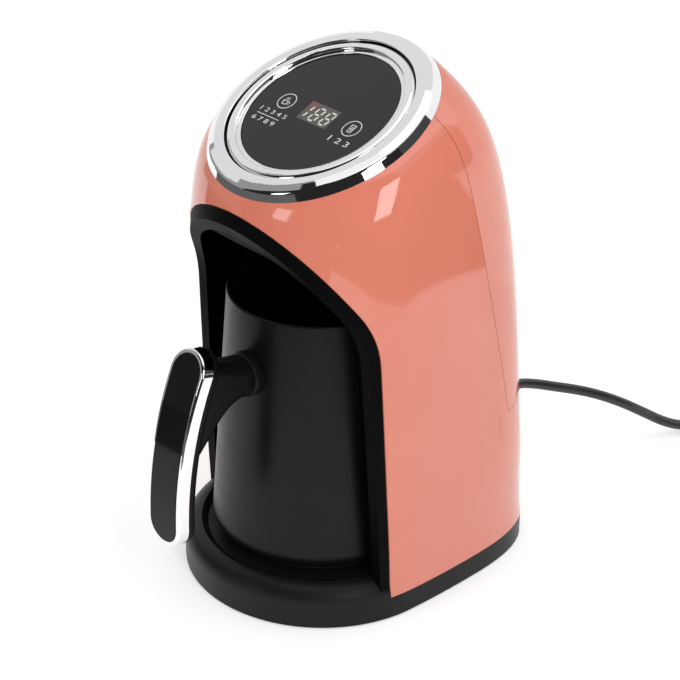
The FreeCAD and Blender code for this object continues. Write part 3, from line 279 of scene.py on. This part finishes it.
def finish(name, dark, light, rough, metallic=0.0, specular=0.5, coat=0.0, coat_rough=0.03,
           grain_pits=0.0, grain_depth=0.0, patch_scale=14.0, streaks=0.35):
    """A finish with drifting colour, hazy roughness and, if asked for, moulded grain."""
    material = bpy.data.materials.new(name)
    material.use_nodes = True
    tree = material.node_tree
    shader = tree.nodes["Principled BSDF"]
    shader.inputs["Metallic"].default_value = metallic
    shader.inputs["Specular IOR Level"].default_value = specular
    shader.inputs["Coat Weight"].default_value = coat
    shader.inputs["Coat Roughness"].default_value = coat_rough
    tint = tree.nodes.new("ShaderNodeMix")
    tint.data_type = "RGBA"
    tint.inputs["A"].default_value = (*dark, 1.0)
    tint.inputs["B"].default_value = (*light, 1.0)
    drift_box = use_group(tree, drift, Patches_per_metre=patch_scale)
    tree.links.new(drift_box.outputs["Mask"], tint.inputs["Factor"])
    tree.links.new(tint.outputs["Result"], shader.inputs["Base Color"])
    haze_box = use_group(tree, haze, Streaks=streaks)
    roughness = spread(tree, haze_box.outputs["Mask"], reads=(0.0, 1.0), gives=rough)
    tree.links.new(roughness, shader.inputs["Roughness"])
    if grain_depth:
        grain_box = use_group(tree, grain, Pits_per_metre=grain_pits)
        relief(material, grain_box.outputs["Height"], grain_depth)
    return material


def mix_over(material, mask, colour):
    """Lay one more colour over a finish wherever the mask is bright."""
    tree = material.node_tree
    base_color = tree.nodes["Principled BSDF"].inputs["Base Color"]
    over = tree.nodes.new("ShaderNodeMix")
    over.data_type = "RGBA"
    over.inputs["B"].default_value = (*colour, 1.0)
    tree.links.new(mask, over.inputs["Factor"])
    tree.links.new(base_color.links[0].from_socket, over.inputs["A"])
    tree.links.new(over.outputs["Result"], base_color)


def dress(material, *names):
    """Give a finish to pieces of the frame."""
    for name in names:
        for slot in nodes[name].material_slots:
            slot.material = material
    print(material.name, "on", ", ".join(names))


# %% [markdown]
# The coral housing is high gloss ABS straight from a polished mould: a warm pigment under a clear,
# hard skin. Its gloss is sharp, but long reflections waver a little, as on all thin mouldings, so
# a very shallow wave lies under the whole surface.

# %% Coral housing
WAVER_DEPTH = 0.00012

coral = finish("coral_gloss", (0.680, 0.198, 0.131), (0.710, 0.215, 0.146), rough=(0.07, 0.13),
               coat=0.4, coat_rough=0.04)
waver = noise(coral.node_tree, scale=26.0, detail=1.0)
relief(coral, waver.outputs["Fac"], WAVER_DEPTH, strength=0.5)
dress(coral, "outer_shell", "back_cover")

# %% [markdown]
# The black mouldings differ in their skins. The base is satin, the bay liner is a shade duller, the
# handle is matt and pleasant to hold. One helper makes them all, with other grain and roughness.

# %% Black mouldings
tray_black = finish("tray_satin", (0.0055, 0.0055, 0.0060), (0.0078, 0.0077, 0.0084),
                    rough=(0.36, 0.46), specular=0.20, grain_pits=2400.0, grain_depth=0.00002)
dress(tray_black, "base_tray")
liner_black = finish("liner_satin", (0.0018, 0.0018, 0.0019), (0.0027, 0.0027, 0.0029),
                     rough=(0.44, 0.56), specular=0.04, grain_pits=2000.0, grain_depth=0.00003)
dress(liner_black, "bay_liner")
handle_black = finish("handle_matt", (0.0036, 0.0036, 0.0038), (0.0052, 0.0052, 0.0055),
                      rough=(0.42, 0.55), specular=0.17, grain_pits=2200.0, grain_depth=0.00003)
dress(handle_black, "handle_core", "handle_collar")
inner_black = finish("inner_matt", (0.018, 0.018, 0.019), (0.026, 0.026, 0.027),
                     rough=(0.5, 0.65), grain_pits=1800.0, grain_depth=0.00003)
dress(inner_black, "bottom_cover", "panel_carrier", "probe_guide", "sensor_holder", "buzzer",
      "transformer", "capacitors", "cord_clamp")

# %% [markdown]
# The rubber parts are softer and duller than any moulding, with a dusty bloom in their colour. The
# heater leads wear grey silicone. The seal round the hot plate is made nearly black, as painted
# shade at the foot of the pot, so that no pale line shows there. Only the cord's sheath is smooth
# enough to shine a little.

# %% Rubber, silicone and cord
rubber = finish("rubber_bloom", (0.016, 0.016, 0.016), (0.028, 0.028, 0.028), rough=(0.6, 0.8),
                specular=0.3, grain_pits=1500.0, grain_depth=0.00004, patch_scale=60.0)
dress(rubber, "rubber_feet", "strain_relief")
silicone = finish("silicone_grey", (0.26, 0.25, 0.23), (0.33, 0.32, 0.30), rough=(0.45, 0.6),
                  specular=0.4, grain_pits=1500.0, grain_depth=0.00002, patch_scale=60.0)
dress(silicone, "heater_leads")
# The seal's near-black colour is painted shade at the foot of the pot.
seal_painted_shade = finish("seal_painted_shade", (0.008, 0.008, 0.008), (0.012, 0.012, 0.012), rough=(0.5, 0.65),
                    specular=0.2, grain_pits=1500.0, grain_depth=0.00002, patch_scale=60.0)
dress(seal_painted_shade, "plate_seal")
cord_black = finish("cord_sheath", (0.018, 0.018, 0.019), (0.030, 0.030, 0.031), rough=(0.24, 0.34),
                    specular=0.5, grain_pits=3000.0, grain_depth=0.00003, patch_scale=40.0)
dress(cord_black, "cord_tail", "plug_body")
cord_line.materials.append(cord_black)

# %% [markdown]
# The pot is aluminium with a sprayed and baked non-stick coat. Close up such a coat is satin black
# with sparse, tiny bright flecks of filler, which lie deeper than its surface. Each fleck is the
# heart of a Voronoi cell, so the range is read backwards: the shorter the distance, the brighter.

# %% Pot coat
FLECK_EDGE = 0.13
FLECK_HEART = 0.05
FLECK_STRENGTH = 0.5

pot_coat = finish("pot_coat", (0.0032, 0.0032, 0.0034), (0.0046, 0.0046, 0.0049),
                  rough=(0.32, 0.42), specular=0.22, grain_pits=1600.0, grain_depth=0.00002,
                  patch_scale=20.0)
pot_tree = pot_coat.node_tree
flecks = pot_tree.nodes.new("ShaderNodeTexVoronoi")
flecks.inputs["Scale"].default_value = 700.0
pot_tree.links.new(object_place(pot_tree), flecks.inputs["Vector"])
bright = spread(pot_tree, flecks.outputs["Distance"], reads=(FLECK_EDGE, FLECK_HEART),
                gives=(0.0, FLECK_STRENGTH))
mix_over(pot_coat, bright, (0.035, 0.035, 0.037))
dress(pot_coat, "pot_vessel")

# %% [markdown]
# Chrome plating on plastic is close to a mirror. It takes the colour of the room, so its own colour
# is a cool near-white and only the haze of handling breaks the mirror. Steel and nickel are duller
# and darker, and the pins of the plug are a little yellow.

# %% Bright metals
chrome = finish("chrome_plate", (0.86, 0.86, 0.875), (0.90, 0.90, 0.91), rough=(0.02, 0.06),
                metallic=1.0)
dress(chrome, "bezel_ring", "bezel_inner_ring", "handle_frame")
steel = finish("plain_steel", (0.52, 0.52, 0.53), (0.60, 0.60, 0.61), rough=(0.22, 0.36),
               metallic=1.0)
dress(steel, "bottom_screws", "board_screws", "touch_pads", "heater_bracket", "fuse_clip",
      "temperature_probe", "probe_spring", "handle_screw")
nickel = finish("nickel_pins", (0.62, 0.57, 0.46), (0.70, 0.66, 0.56), rough=(0.16, 0.26),
                metallic=1.0)
dress(nickel, "plug_pins")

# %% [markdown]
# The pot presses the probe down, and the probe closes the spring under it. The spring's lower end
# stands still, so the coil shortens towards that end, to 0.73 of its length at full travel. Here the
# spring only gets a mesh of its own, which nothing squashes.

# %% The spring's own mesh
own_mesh(nodes["probe_spring"])

# %% [markdown]
# The hot plate is cast aluminium, faced on a lathe. The tool leaves fine rings round the centre,
# which a ring wave about the Z axis draws in the relief.

# %% Turned hot plate
RING_DEPTH = 0.00004

plate = finish("turned_plate", (0.50, 0.50, 0.51), (0.58, 0.58, 0.59), rough=(0.25, 0.35),
               metallic=1.0)
rings = plate.node_tree.nodes.new("ShaderNodeTexWave")
rings.wave_type = "RINGS"
rings.rings_direction = "Z"
rings.inputs["Scale"].default_value = 190.0
rings.inputs["Distortion"].default_value = 0.6
plate.node_tree.links.new(object_place(plate.node_tree), rings.inputs["Vector"])
relief(plate, rings.outputs["Fac"], RING_DEPTH)
dress(plate, "heating_plate", "heating_element")

# %% [markdown]
# The panel glass is printed black from below, so it is one nearly black body with a sharp gloss,
# faintly violet as in the photograph. The strip in the handle's frame is plastic: blacker still,
# with a weaker and softer mirror.

# %% Black glass and handle strip
panel_gloss = finish("panel_glass", (0.0085, 0.0070, 0.0095), (0.0105, 0.0090, 0.0120),
                     rough=(0.03, 0.09), specular=0.36, streaks=0.5)
dress(panel_gloss, "panel_glass")
inlay_gloss = finish("inlay_gloss", (0.0050, 0.0047, 0.0052), (0.0068, 0.0064, 0.0071),
                     rough=(0.08, 0.14), specular=0.15)
dress(inlay_gloss, "handle_inlay")

# %% [markdown]
# Inside the housing the parts wear their trade's usual colours: off-white for modules, wires and
# terminals, and green for the two boards. They show only where the housing is opened, so plain
# finishes from the same helper will do.

# %% Inner parts
inner_white = finish("inner_white", (0.66, 0.66, 0.62), (0.74, 0.74, 0.71), rough=(0.4, 0.5),
                     patch_scale=60.0)
dress(inner_white, "display_module", "thermal_fuse", "relay", "terminal_block", "signal_cable")
board_green = finish("board_green", (0.030, 0.115, 0.050), (0.045, 0.160, 0.070),
                     rough=(0.25, 0.4), patch_scale=90.0)
dress(board_green, "touch_board", "power_board")

# %% [markdown]
# ## Panel
# The round panel slants towards the user. Everything on it is drawn flat, in its own x and y, and
# then carried by one matrix, so the places below read as if the panel lay on the table.

# %% The panel's place
PANEL_TILT = math.radians(25.64)
PANEL_CENTRE = (0.0, 0.0021, 0.2201)
PANEL = Matrix.Translation(PANEL_CENTRE) @ Matrix.Rotation(PANEL_TILT, 4, "X")
GLASS_TOP = 0.00235
WINDOW = Vector((0.0012, -0.0022))
WINDOW_HALF = Vector((0.0092, 0.0057))
print("panel centre", PANEL.translation)

# %% [markdown]
# The window is a smoked lens over the display. Unlit, it is a warm dark grey. Its upper left
# corner is painted a little red: a painted glow that stands in for light passing the edge of the
# red filter. A gradient that starts at that corner mixes the two colours, in the panel's own
# directions.

# %% Smoked window with a painted red glow
# The painted red glow fades out from its corner over these metres, up to this strength.
PAINTED_GLOW_REACH = 0.0072
PAINTED_GLOW_FULL = 0.0010
PAINTED_GLOW_STRENGTH = 0.8

smoke_and_painted_glow = finish("smoked_window_painted_glow", (0.070, 0.066, 0.058), (0.090, 0.084, 0.074), rough=(0.06, 0.12),
               streaks=0.5)
smoke_and_glow_tree = smoke_and_painted_glow.node_tree
painted_glow_distance = smoke_and_glow_tree.nodes.new("ShaderNodeVectorMath")
painted_glow_distance.operation = "DISTANCE"
painted_glow_corner = PANEL @ Vector((WINDOW.x - WINDOW_HALF.x, WINDOW.y + WINDOW_HALF.y, GLASS_TOP))
painted_glow_distance.inputs[1].default_value = painted_glow_corner
smoke_and_glow_tree.links.new(object_place(smoke_and_glow_tree), painted_glow_distance.inputs[0])
painted_glow = spread(smoke_and_glow_tree, painted_glow_distance.outputs["Value"], reads=(PAINTED_GLOW_REACH, PAINTED_GLOW_FULL),
              gives=(0.0, PAINTED_GLOW_STRENGTH))
# The red laid over here is a painted glow, not the lens's own colour.
mix_over(smoke_and_painted_glow, painted_glow, (0.24, 0.055, 0.065))
dress(smoke_and_painted_glow, "display_lens", "sensor_lens")

# %% [markdown]
# ## Printed marks
# The marks are screen printed in white on the glass: a ring round each key with a small sign in it,
# and rows of plain numbers below. The print could be a picture, but thin raised strips of real
# geometry stay sharp from near by, so each stroke is a strip a few hundredths of a millimetre thick.

# %% Strips and rings
INK = 0.00006


def strip(mesh, start, end, width):
    """A flat bar from start to end on the panel, made from one scaled cube."""
    start, end = Vector(start), Vector(end)
    run = end - start
    middle = (start + end) / 2
    turn = Matrix.Rotation(math.atan2(run.y, run.x), 4, "Z")
    size = Matrix.Diagonal((run.length, width, INK, 1.0))
    place = Matrix.Translation((middle.x, middle.y, INK / 2))
    return bmesh.ops.create_cube(mesh, size=1.0, matrix=place @ turn @ size)["verts"]


def ring(mesh, middle, radius, width, steps=40):
    """A flat band spun from a small upright rectangle."""
    made = bmesh.ops.create_grid(mesh, x_segments=1, y_segments=1, size=0.5)["verts"]
    faces = list({face for vert in made for face in vert.link_faces})
    bmesh.ops.delete(mesh, geom=faces, context="FACES_ONLY")
    bmesh.ops.scale(mesh, verts=made, vec=(width, INK, 1.0))
    bmesh.ops.rotate(mesh, verts=made, cent=(0, 0, 0), matrix=Matrix.Rotation(math.pi / 2, 3, "X"))
    bmesh.ops.translate(mesh, verts=made, vec=(radius, 0, INK / 2))
    edges = list({edge for vert in made for edge in vert.link_edges})
    before = set(mesh.verts) - set(made)
    bmesh.ops.spin(mesh, geom=made + edges, cent=(0, 0, 0), axis=(0, 0, 1), angle=2 * math.pi,
                   steps=steps, use_merge=True)
    band = [vert for vert in mesh.verts if vert not in before]
    bmesh.ops.translate(mesh, verts=band, vec=(*middle, 0))


print("ink", INK * 1000, "mm thick")

# %% [markdown]
# A bmesh is only a draft. To become a piece, it is carried onto the glass, written into a mesh,
# given its finish, and told which body it rides on.

# %% From a drawing to a piece
def to_data(name, mesh):
    """Write a bmesh into a new mesh and let the bmesh go."""
    data = bpy.data.meshes.new(name)
    mesh.to_mesh(data)
    mesh.free()
    return data


def on_panel(name, mesh, material):
    """Lay a bmesh drawn flat onto the glass and make it a piece."""
    bmesh.ops.recalc_face_normals(mesh, faces=mesh.faces)
    bmesh.ops.transform(mesh, matrix=PANEL @ Matrix.Translation((0, 0, GLASS_TOP)), verts=mesh.verts)
    data = to_data(name, mesh)
    data.materials.append(material)
    made = add_object(name, data)
    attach(made, "base")
    print(name, len(data.polygons), "faces")


ink_white = finish("ink_white", (0.62, 0.62, 0.63), (0.72, 0.72, 0.73), rough=(0.4, 0.55),
                   patch_scale=900.0)
print("finish", ink_white.name)

# %% [markdown]
# The left key carries a cup with steam over it and the right one a tall measuring glass: signs
# that anyone reads, drawn from a few strokes each. The strokes are written in millimetres from the
# middle of their key.

# %% Key rings and signs
LEFT_KEY = (-0.0198, -0.0021)
RIGHT_KEY = (0.0222, -0.0021)
KEY_RING = 0.00445
STROKE = 0.00042
CUP = [
    ((-2.0, 0.2), (1.2, 0.2)), ((-1.9, 0.2), (-1.4, -2.0)), ((1.1, 0.2), (0.6, -2.0)),
    ((-1.5, -2.0), (0.7, -2.0)), ((-1.1, 0.9), (-0.9, 2.2)), ((0.1, 0.9), (0.3, 2.2)),
]
CUP_EAR = (LEFT_KEY[0] + 0.0015, LEFT_KEY[1] - 0.0007)
EAR_RADIUS = 0.00075
EAR_STROKE = 0.0003
MEASURING_GLASS = [
    ((-1.3, 1.9), (-1.0, -2.2)), ((1.3, 1.9), (1.0, -2.2)), ((-1.1, -2.2), (1.1, -2.2)),
    ((-1.5, 1.9), (1.5, 1.9)), ((-1.1, -0.2), (1.1, -0.2)), ((-0.3, 0.7), (1.1, 0.7)),
    ((-0.3, -1.1), (1.0, -1.1)),
]


def key_sign(mesh, middle, lines):
    """A ring round a key, with a sign of short strokes in it."""
    ring(mesh, middle, KEY_RING, STROKE)
    for (x0, y0), (x1, y1) in lines:
        strip(mesh, (middle[0] + x0 / 1000, middle[1] + y0 / 1000),
              (middle[0] + x1 / 1000, middle[1] + y1 / 1000), STROKE)


signs = bmesh.new()
key_sign(signs, LEFT_KEY, CUP)
ring(signs, CUP_EAR, EAR_RADIUS, EAR_STROKE, steps=20)
key_sign(signs, RIGHT_KEY, MEASURING_GLASS)
on_panel("key_signs", signs, ink_white)

# %% [markdown]
# The numbers are text curves turned into mesh while still at the origin, then laid on the glass.
# Numerals could be drawn stroke by stroke too, but the font already has their round shapes.

# %% A row of numerals
def number_row(text, middle, wide, tall):
    """A row of numerals as a bmesh, fitted to a width and a height."""
    row = bpy.data.curves.new("number_row", "FONT")
    row.body = text
    row.extrude = INK / 2
    holder = add_object("number_row", row)
    bpy.context.view_layer.update()
    data = bpy.data.meshes.new_from_object(holder)
    bpy.data.objects.remove(holder)
    mesh = bmesh.new()
    mesh.from_mesh(data)
    bpy.data.meshes.remove(data)
    bmesh.ops.remove_doubles(mesh, verts=mesh.verts, dist=1e-6)
    low = Vector([min(vert.co[axis] for vert in mesh.verts) for axis in range(3)])
    high = Vector([max(vert.co[axis] for vert in mesh.verts) for axis in range(3)])
    bmesh.ops.translate(mesh, verts=mesh.verts, vec=-(low + high) / 2)
    fit = (wide / (high.x - low.x), tall / (high.y - low.y), 1.0)
    bmesh.ops.scale(mesh, verts=mesh.verts, vec=fit)
    bmesh.ops.translate(mesh, verts=mesh.verts, vec=(*middle, INK / 2))
    return mesh


def add_mesh(target, extra):
    """Join one bmesh to another, by way of a mesh."""
    data = to_data("joined", extra)
    target.from_mesh(data)
    bpy.data.meshes.remove(data)


print("helpers", number_row.__name__, add_mesh.__name__)

# %% [markdown]
# Each row has its numerals, its middle on the panel, its width and its height. A divider line lies
# between the two rows on the left, as a fraction is written.

# %% Numbers
NUMBER_ROWS = [
    ("1 2 3 4 5", (-0.0202, -0.0100), 0.0166, 0.0024),
    ("6 7 8 9", (-0.0212, -0.0157), 0.0140, 0.0024),
    ("1 2 3", (0.0224, -0.0104), 0.0118, 0.0030),
]
DIVIDER_START = (-0.0280, -0.0129)
DIVIDER_END = (-0.0140, -0.0129)
DIVIDER_WIDTH = 0.00035

labels = bmesh.new()
for text, middle, wide, tall in NUMBER_ROWS:
    add_mesh(labels, number_row(text, middle, wide, tall))
strip(labels, DIVIDER_START, DIVIDER_END, DIVIDER_WIDTH)
on_panel("number_rows", labels, ink_white)

# %% [markdown]
# ## Digits
# The three digits are seven-segment figures, unlit and greenish white. On a real display they lie
# behind the smoked window. Here the window's finish lets no light through, so the bars lie on its
# face, as thin as the print. A segment is a thin bar whose upright edges are cut to the usual
# pointed ends, and each digit leans a little.

# %% Seven segments
DIGIT_TALL = 0.0077
DIGIT_WIDE = 0.0038
DIGIT_LEAN = 0.0014
DIGIT_DROP = 0.0004
BAR = 0.00085
POINT_CUT = 0.45 * BAR
END_GAP = 0.55 * BAR
SEGMENTS = {
    "top": ((0, 1), (1, 1)), "middle": ((0, 0.5), (1, 0.5)), "bottom": ((0, 0), (1, 0)),
    "left high": ((0, 0.5), (0, 1)), "left low": ((0, 0), (0, 0.5)),
    "right high": ((1, 0.5), (1, 1)), "right low": ((1, 0), (1, 0.5)),
}


def segment(mesh, start, end):
    """One bar with pointed ends."""
    bar = strip(mesh, start, end, BAR)
    edges = [edge for edge in {e for vert in bar for e in vert.link_edges}
             if abs(edge.verts[0].co.z - edge.verts[1].co.z) > INK / 2]
    bmesh.ops.bevel(mesh, geom=edges, offset=POINT_CUT, offset_type="OFFSET", segments=1,
                    profile=0.5, affect="EDGES", material=-1)


def digit(mesh, middle_x, names):
    """A figure made of the named segments, with a short gap where two of them meet."""
    low = WINDOW.y - DIGIT_DROP - DIGIT_TALL / 2
    for name in names:
        ends = []
        for across, up in SEGMENTS[name]:
            sideways = (across - 0.5) * DIGIT_WIDE + (up - 0.5) * DIGIT_LEAN
            ends.append(Vector((middle_x + sideways, low + up * DIGIT_TALL)))
        run = (ends[1] - ends[0]).normalized() * END_GAP
        segment(mesh, ends[0] + run, ends[1] - run)


print("segments", ", ".join(SEGMENTS))

# %% [markdown]
# The display's first digit is a one and the other two have all their segments. Their middles are
# written from the middle of the window.

# %% Display digits
FIGURES = [
    (-0.0079, ["right high", "right low"]),
    (-0.0008, list(SEGMENTS)),
    (0.0060, list(SEGMENTS)),
]

digits = bmesh.new()
for offset, names in FIGURES:
    digit(digits, WINDOW.x + offset, names)
segment_white = finish("segment_white", (0.60, 0.61, 0.52), (0.70, 0.70, 0.62), rough=(0.35, 0.5),
                       patch_scale=500.0)
on_panel("display_digits", digits, segment_white)

# %% [markdown]
# ## Table and room
# A surface can look brighter than the light that it gives to the things round it. One helper tells
# the rays that are seen, in the picture or in a mirror of it, from those that only carry light.
# The other makes a plain finish for the studio, which needs neither drift nor haze.

# %% Helpers for the studio
def seen_rays(tree):
    """One for rays that come from the camera, a mirror or through glass."""
    path = tree.nodes.new("ShaderNodeLightPath")
    total = path.outputs["Is Camera Ray"]
    for name in ("Is Glossy Ray", "Is Transmission Ray"):
        either = tree.nodes.new("ShaderNodeMath")
        either.operation = "MAXIMUM"
        tree.links.new(total, either.inputs[0])
        tree.links.new(path.outputs[name], either.inputs[1])
        total = either.outputs[0]
    return total


def plain_finish(name, grey):
    """A material of one grey without gloss, which glows white if it is given a strength."""
    material = bpy.data.materials.new(name)
    material.use_nodes = True
    shader = material.node_tree.nodes["Principled BSDF"]
    shader.inputs["Base Color"].default_value = (grey, grey, grey, 1.0)
    shader.inputs["Specular IOR Level"].default_value = 0.0
    shader.inputs["Emission Color"].default_value = (1.0, 1.0, 1.0, 1.0)
    return material, shader


print("helpers", seen_rays.__name__, plain_finish.__name__)

# %% [markdown]
# A plain white table stands under the machine. Seen rays find it a little brighter than it is lit,
# so that it reads as white while the machine's own shadow stays on it.

# %% Table
TABLE_HALF = 6.0
TABLE_GREY = 0.86
TABLE_LIFT = 0.36

table_mesh = bmesh.new()
bmesh.ops.create_grid(table_mesh, x_segments=1, y_segments=1, size=TABLE_HALF)
table = add_object("table", to_data("table", table_mesh))
table_white, table_shader = plain_finish("table_white", TABLE_GREY)
table_shader.inputs["Roughness"].default_value = 0.9
table_tree = table_white.node_tree
lift = spread(table_tree, seen_rays(table_tree), reads=(0.0, 1.0), gives=(0.0, TABLE_LIFT))
table_tree.links.new(lift, table_shader.inputs["Emission Strength"])
table.data.materials.append(table_white)
print("table", tuple(round(v, 2) for v in table.dimensions))

# %% [markdown]
# A white room all round gives most of the light. It looks fully white, but lights the machine less
# than that, which leaves something for the soft boxes to do.

# %% Room
ROOM_LIT = 0.72
ROOM_SEEN = 1.0

room = bpy.data.worlds.new("white_room")
bpy.context.scene.world = room
room.use_nodes = True
room_tree = room.node_tree
room_level = spread(room_tree, seen_rays(room_tree), reads=(0.0, 1.0), gives=(ROOM_LIT, ROOM_SEEN))
room_tree.nodes["Background"].inputs["Color"].default_value = (1.0, 1.0, 1.0, 1.0)
room_tree.links.new(room_level, room_tree.nodes["Background"].inputs["Strength"])
print("room gives", ROOM_LIT, "and shows", ROOM_SEEN)

# %% [markdown]
# ## Soft boxes
# Two soft boxes stand in front, one on each side of the camera's line: they draw the two clear
# window shapes under the bright ring. A wide one hangs high over the right rear and lights the
# tops. Each row gives the azimuth, elevation and distance from the machine's middle, the width, the
# height and the power in watts.

# %% Soft boxes
MACHINE_MIDDLE = Vector((0.0, 0.0, 0.15))
SOFT_BOXES = [
    ("right_soft_box", 72, 22, 1.5, 0.42, 0.95, 6.5),
    ("front_soft_box", -8, 14, 1.6, 0.30, 0.45, 1.5),
    ("top_soft_box", 120, 72, 1.7, 1.8, 1.8, 5.5),
]


def direction(azimuth, elevation):
    """A unit vector; azimuth 0 points to the front and 90 to the machine's right."""
    a, e = math.radians(azimuth), math.radians(elevation)
    return Vector((math.sin(a) * math.cos(e), -math.cos(a) * math.cos(e), math.sin(e)))


for name, azimuth, elevation, distance, wide, tall, power in SOFT_BOXES:
    lamp = bpy.data.lights.new(name, "AREA")
    lamp.shape = "RECTANGLE"
    lamp.size = wide
    lamp.size_y = tall
    lamp.energy = power
    holder = add_object(name, lamp)
    way = direction(azimuth, elevation)
    holder.location = MACHINE_MIDDLE + way * distance
    holder.rotation_euler = (-way).to_track_quat("-Z", "Y").to_euler()
    print(name, "at", [round(v, 2) for v in holder.location])

# %% [markdown]
# ## Cards
# A gloss surface is as good as what it mirrors, so cards that only reflections see stand round the
# machine. Dark, dim and grey walls keep the gloss deep between the soft boxes and give the chrome
# its dark bands, and a pale ceiling closes the left rear. Two flat cards just over the table end its
# white in the mirror, in front and on the right. Two low white cards keep the stored coil out of
# the glossy side. A card is an edge spun round a middle, which is the machine's own unless given.

# %% Helper for cards
def card(name, start, end, low, high, level, middle=(0.0, 0.0)):
    """Spin the edge from low to high, each (distance, height), between two azimuths."""
    mesh = bmesh.new()
    way = direction(start, 0)
    ends = [mesh.verts.new(way * distance + Vector((*middle, height))) for distance, height in (low, high)]
    edge = mesh.edges.new(ends)
    bmesh.ops.spin(mesh, geom=ends + [edge], cent=(*middle, 0), axis=(0, 0, 1),
                   angle=math.radians(end - start), steps=24)
    material, shader = plain_finish(name, 0.0)
    shader.inputs["Emission Strength"].default_value = level
    made = add_object(name, to_data(name, mesh))
    made.data.materials.append(material)
    made.visible_camera = False
    made.visible_diffuse = False
    made.visible_transmission = False
    made.visible_shadow = False
    print(name, "level", level)


print("helper", card.__name__)

# %% [markdown]
# The walls stand at one distance and differ only in their level. The flat card on the right has a
# middle of its own, so that its near edge crosses the gloss as one smooth line.

# %% Cards
WALL_FOOT = (1.9, 0.0)
WALL_TOP = (1.9, 3.2)
OVER_TABLE = 0.0006
SCREEN_TOP = (0.2, 0.03)

card("dark_wall", -38, 100, WALL_FOOT, WALL_TOP, 0.02)
card("dim_wall", 100, 144, WALL_FOOT, WALL_TOP, 0.06)
card("grey_wall", -85, -38, WALL_FOOT, WALL_TOP, 0.32)
card("front_edge", -75, 34, (0.45, OVER_TABLE), (1.9, OVER_TABLE), 0.12)
card("right_edge", 62, 123, (1.273, OVER_TABLE), (3.2, OVER_TABLE), 0.03, middle=(-0.827, -0.346))
card("pale_ceiling", -160, -60, (1.8, 0.9), (0.6, 2.6), 0.8)
card("cord_screen", 140, 176, (0.2, 0.0), SCREEN_TOP, 1.05)
card("cord_lid", 140, 176, SCREEN_TOP, (0.32, 0.03), 1.05)
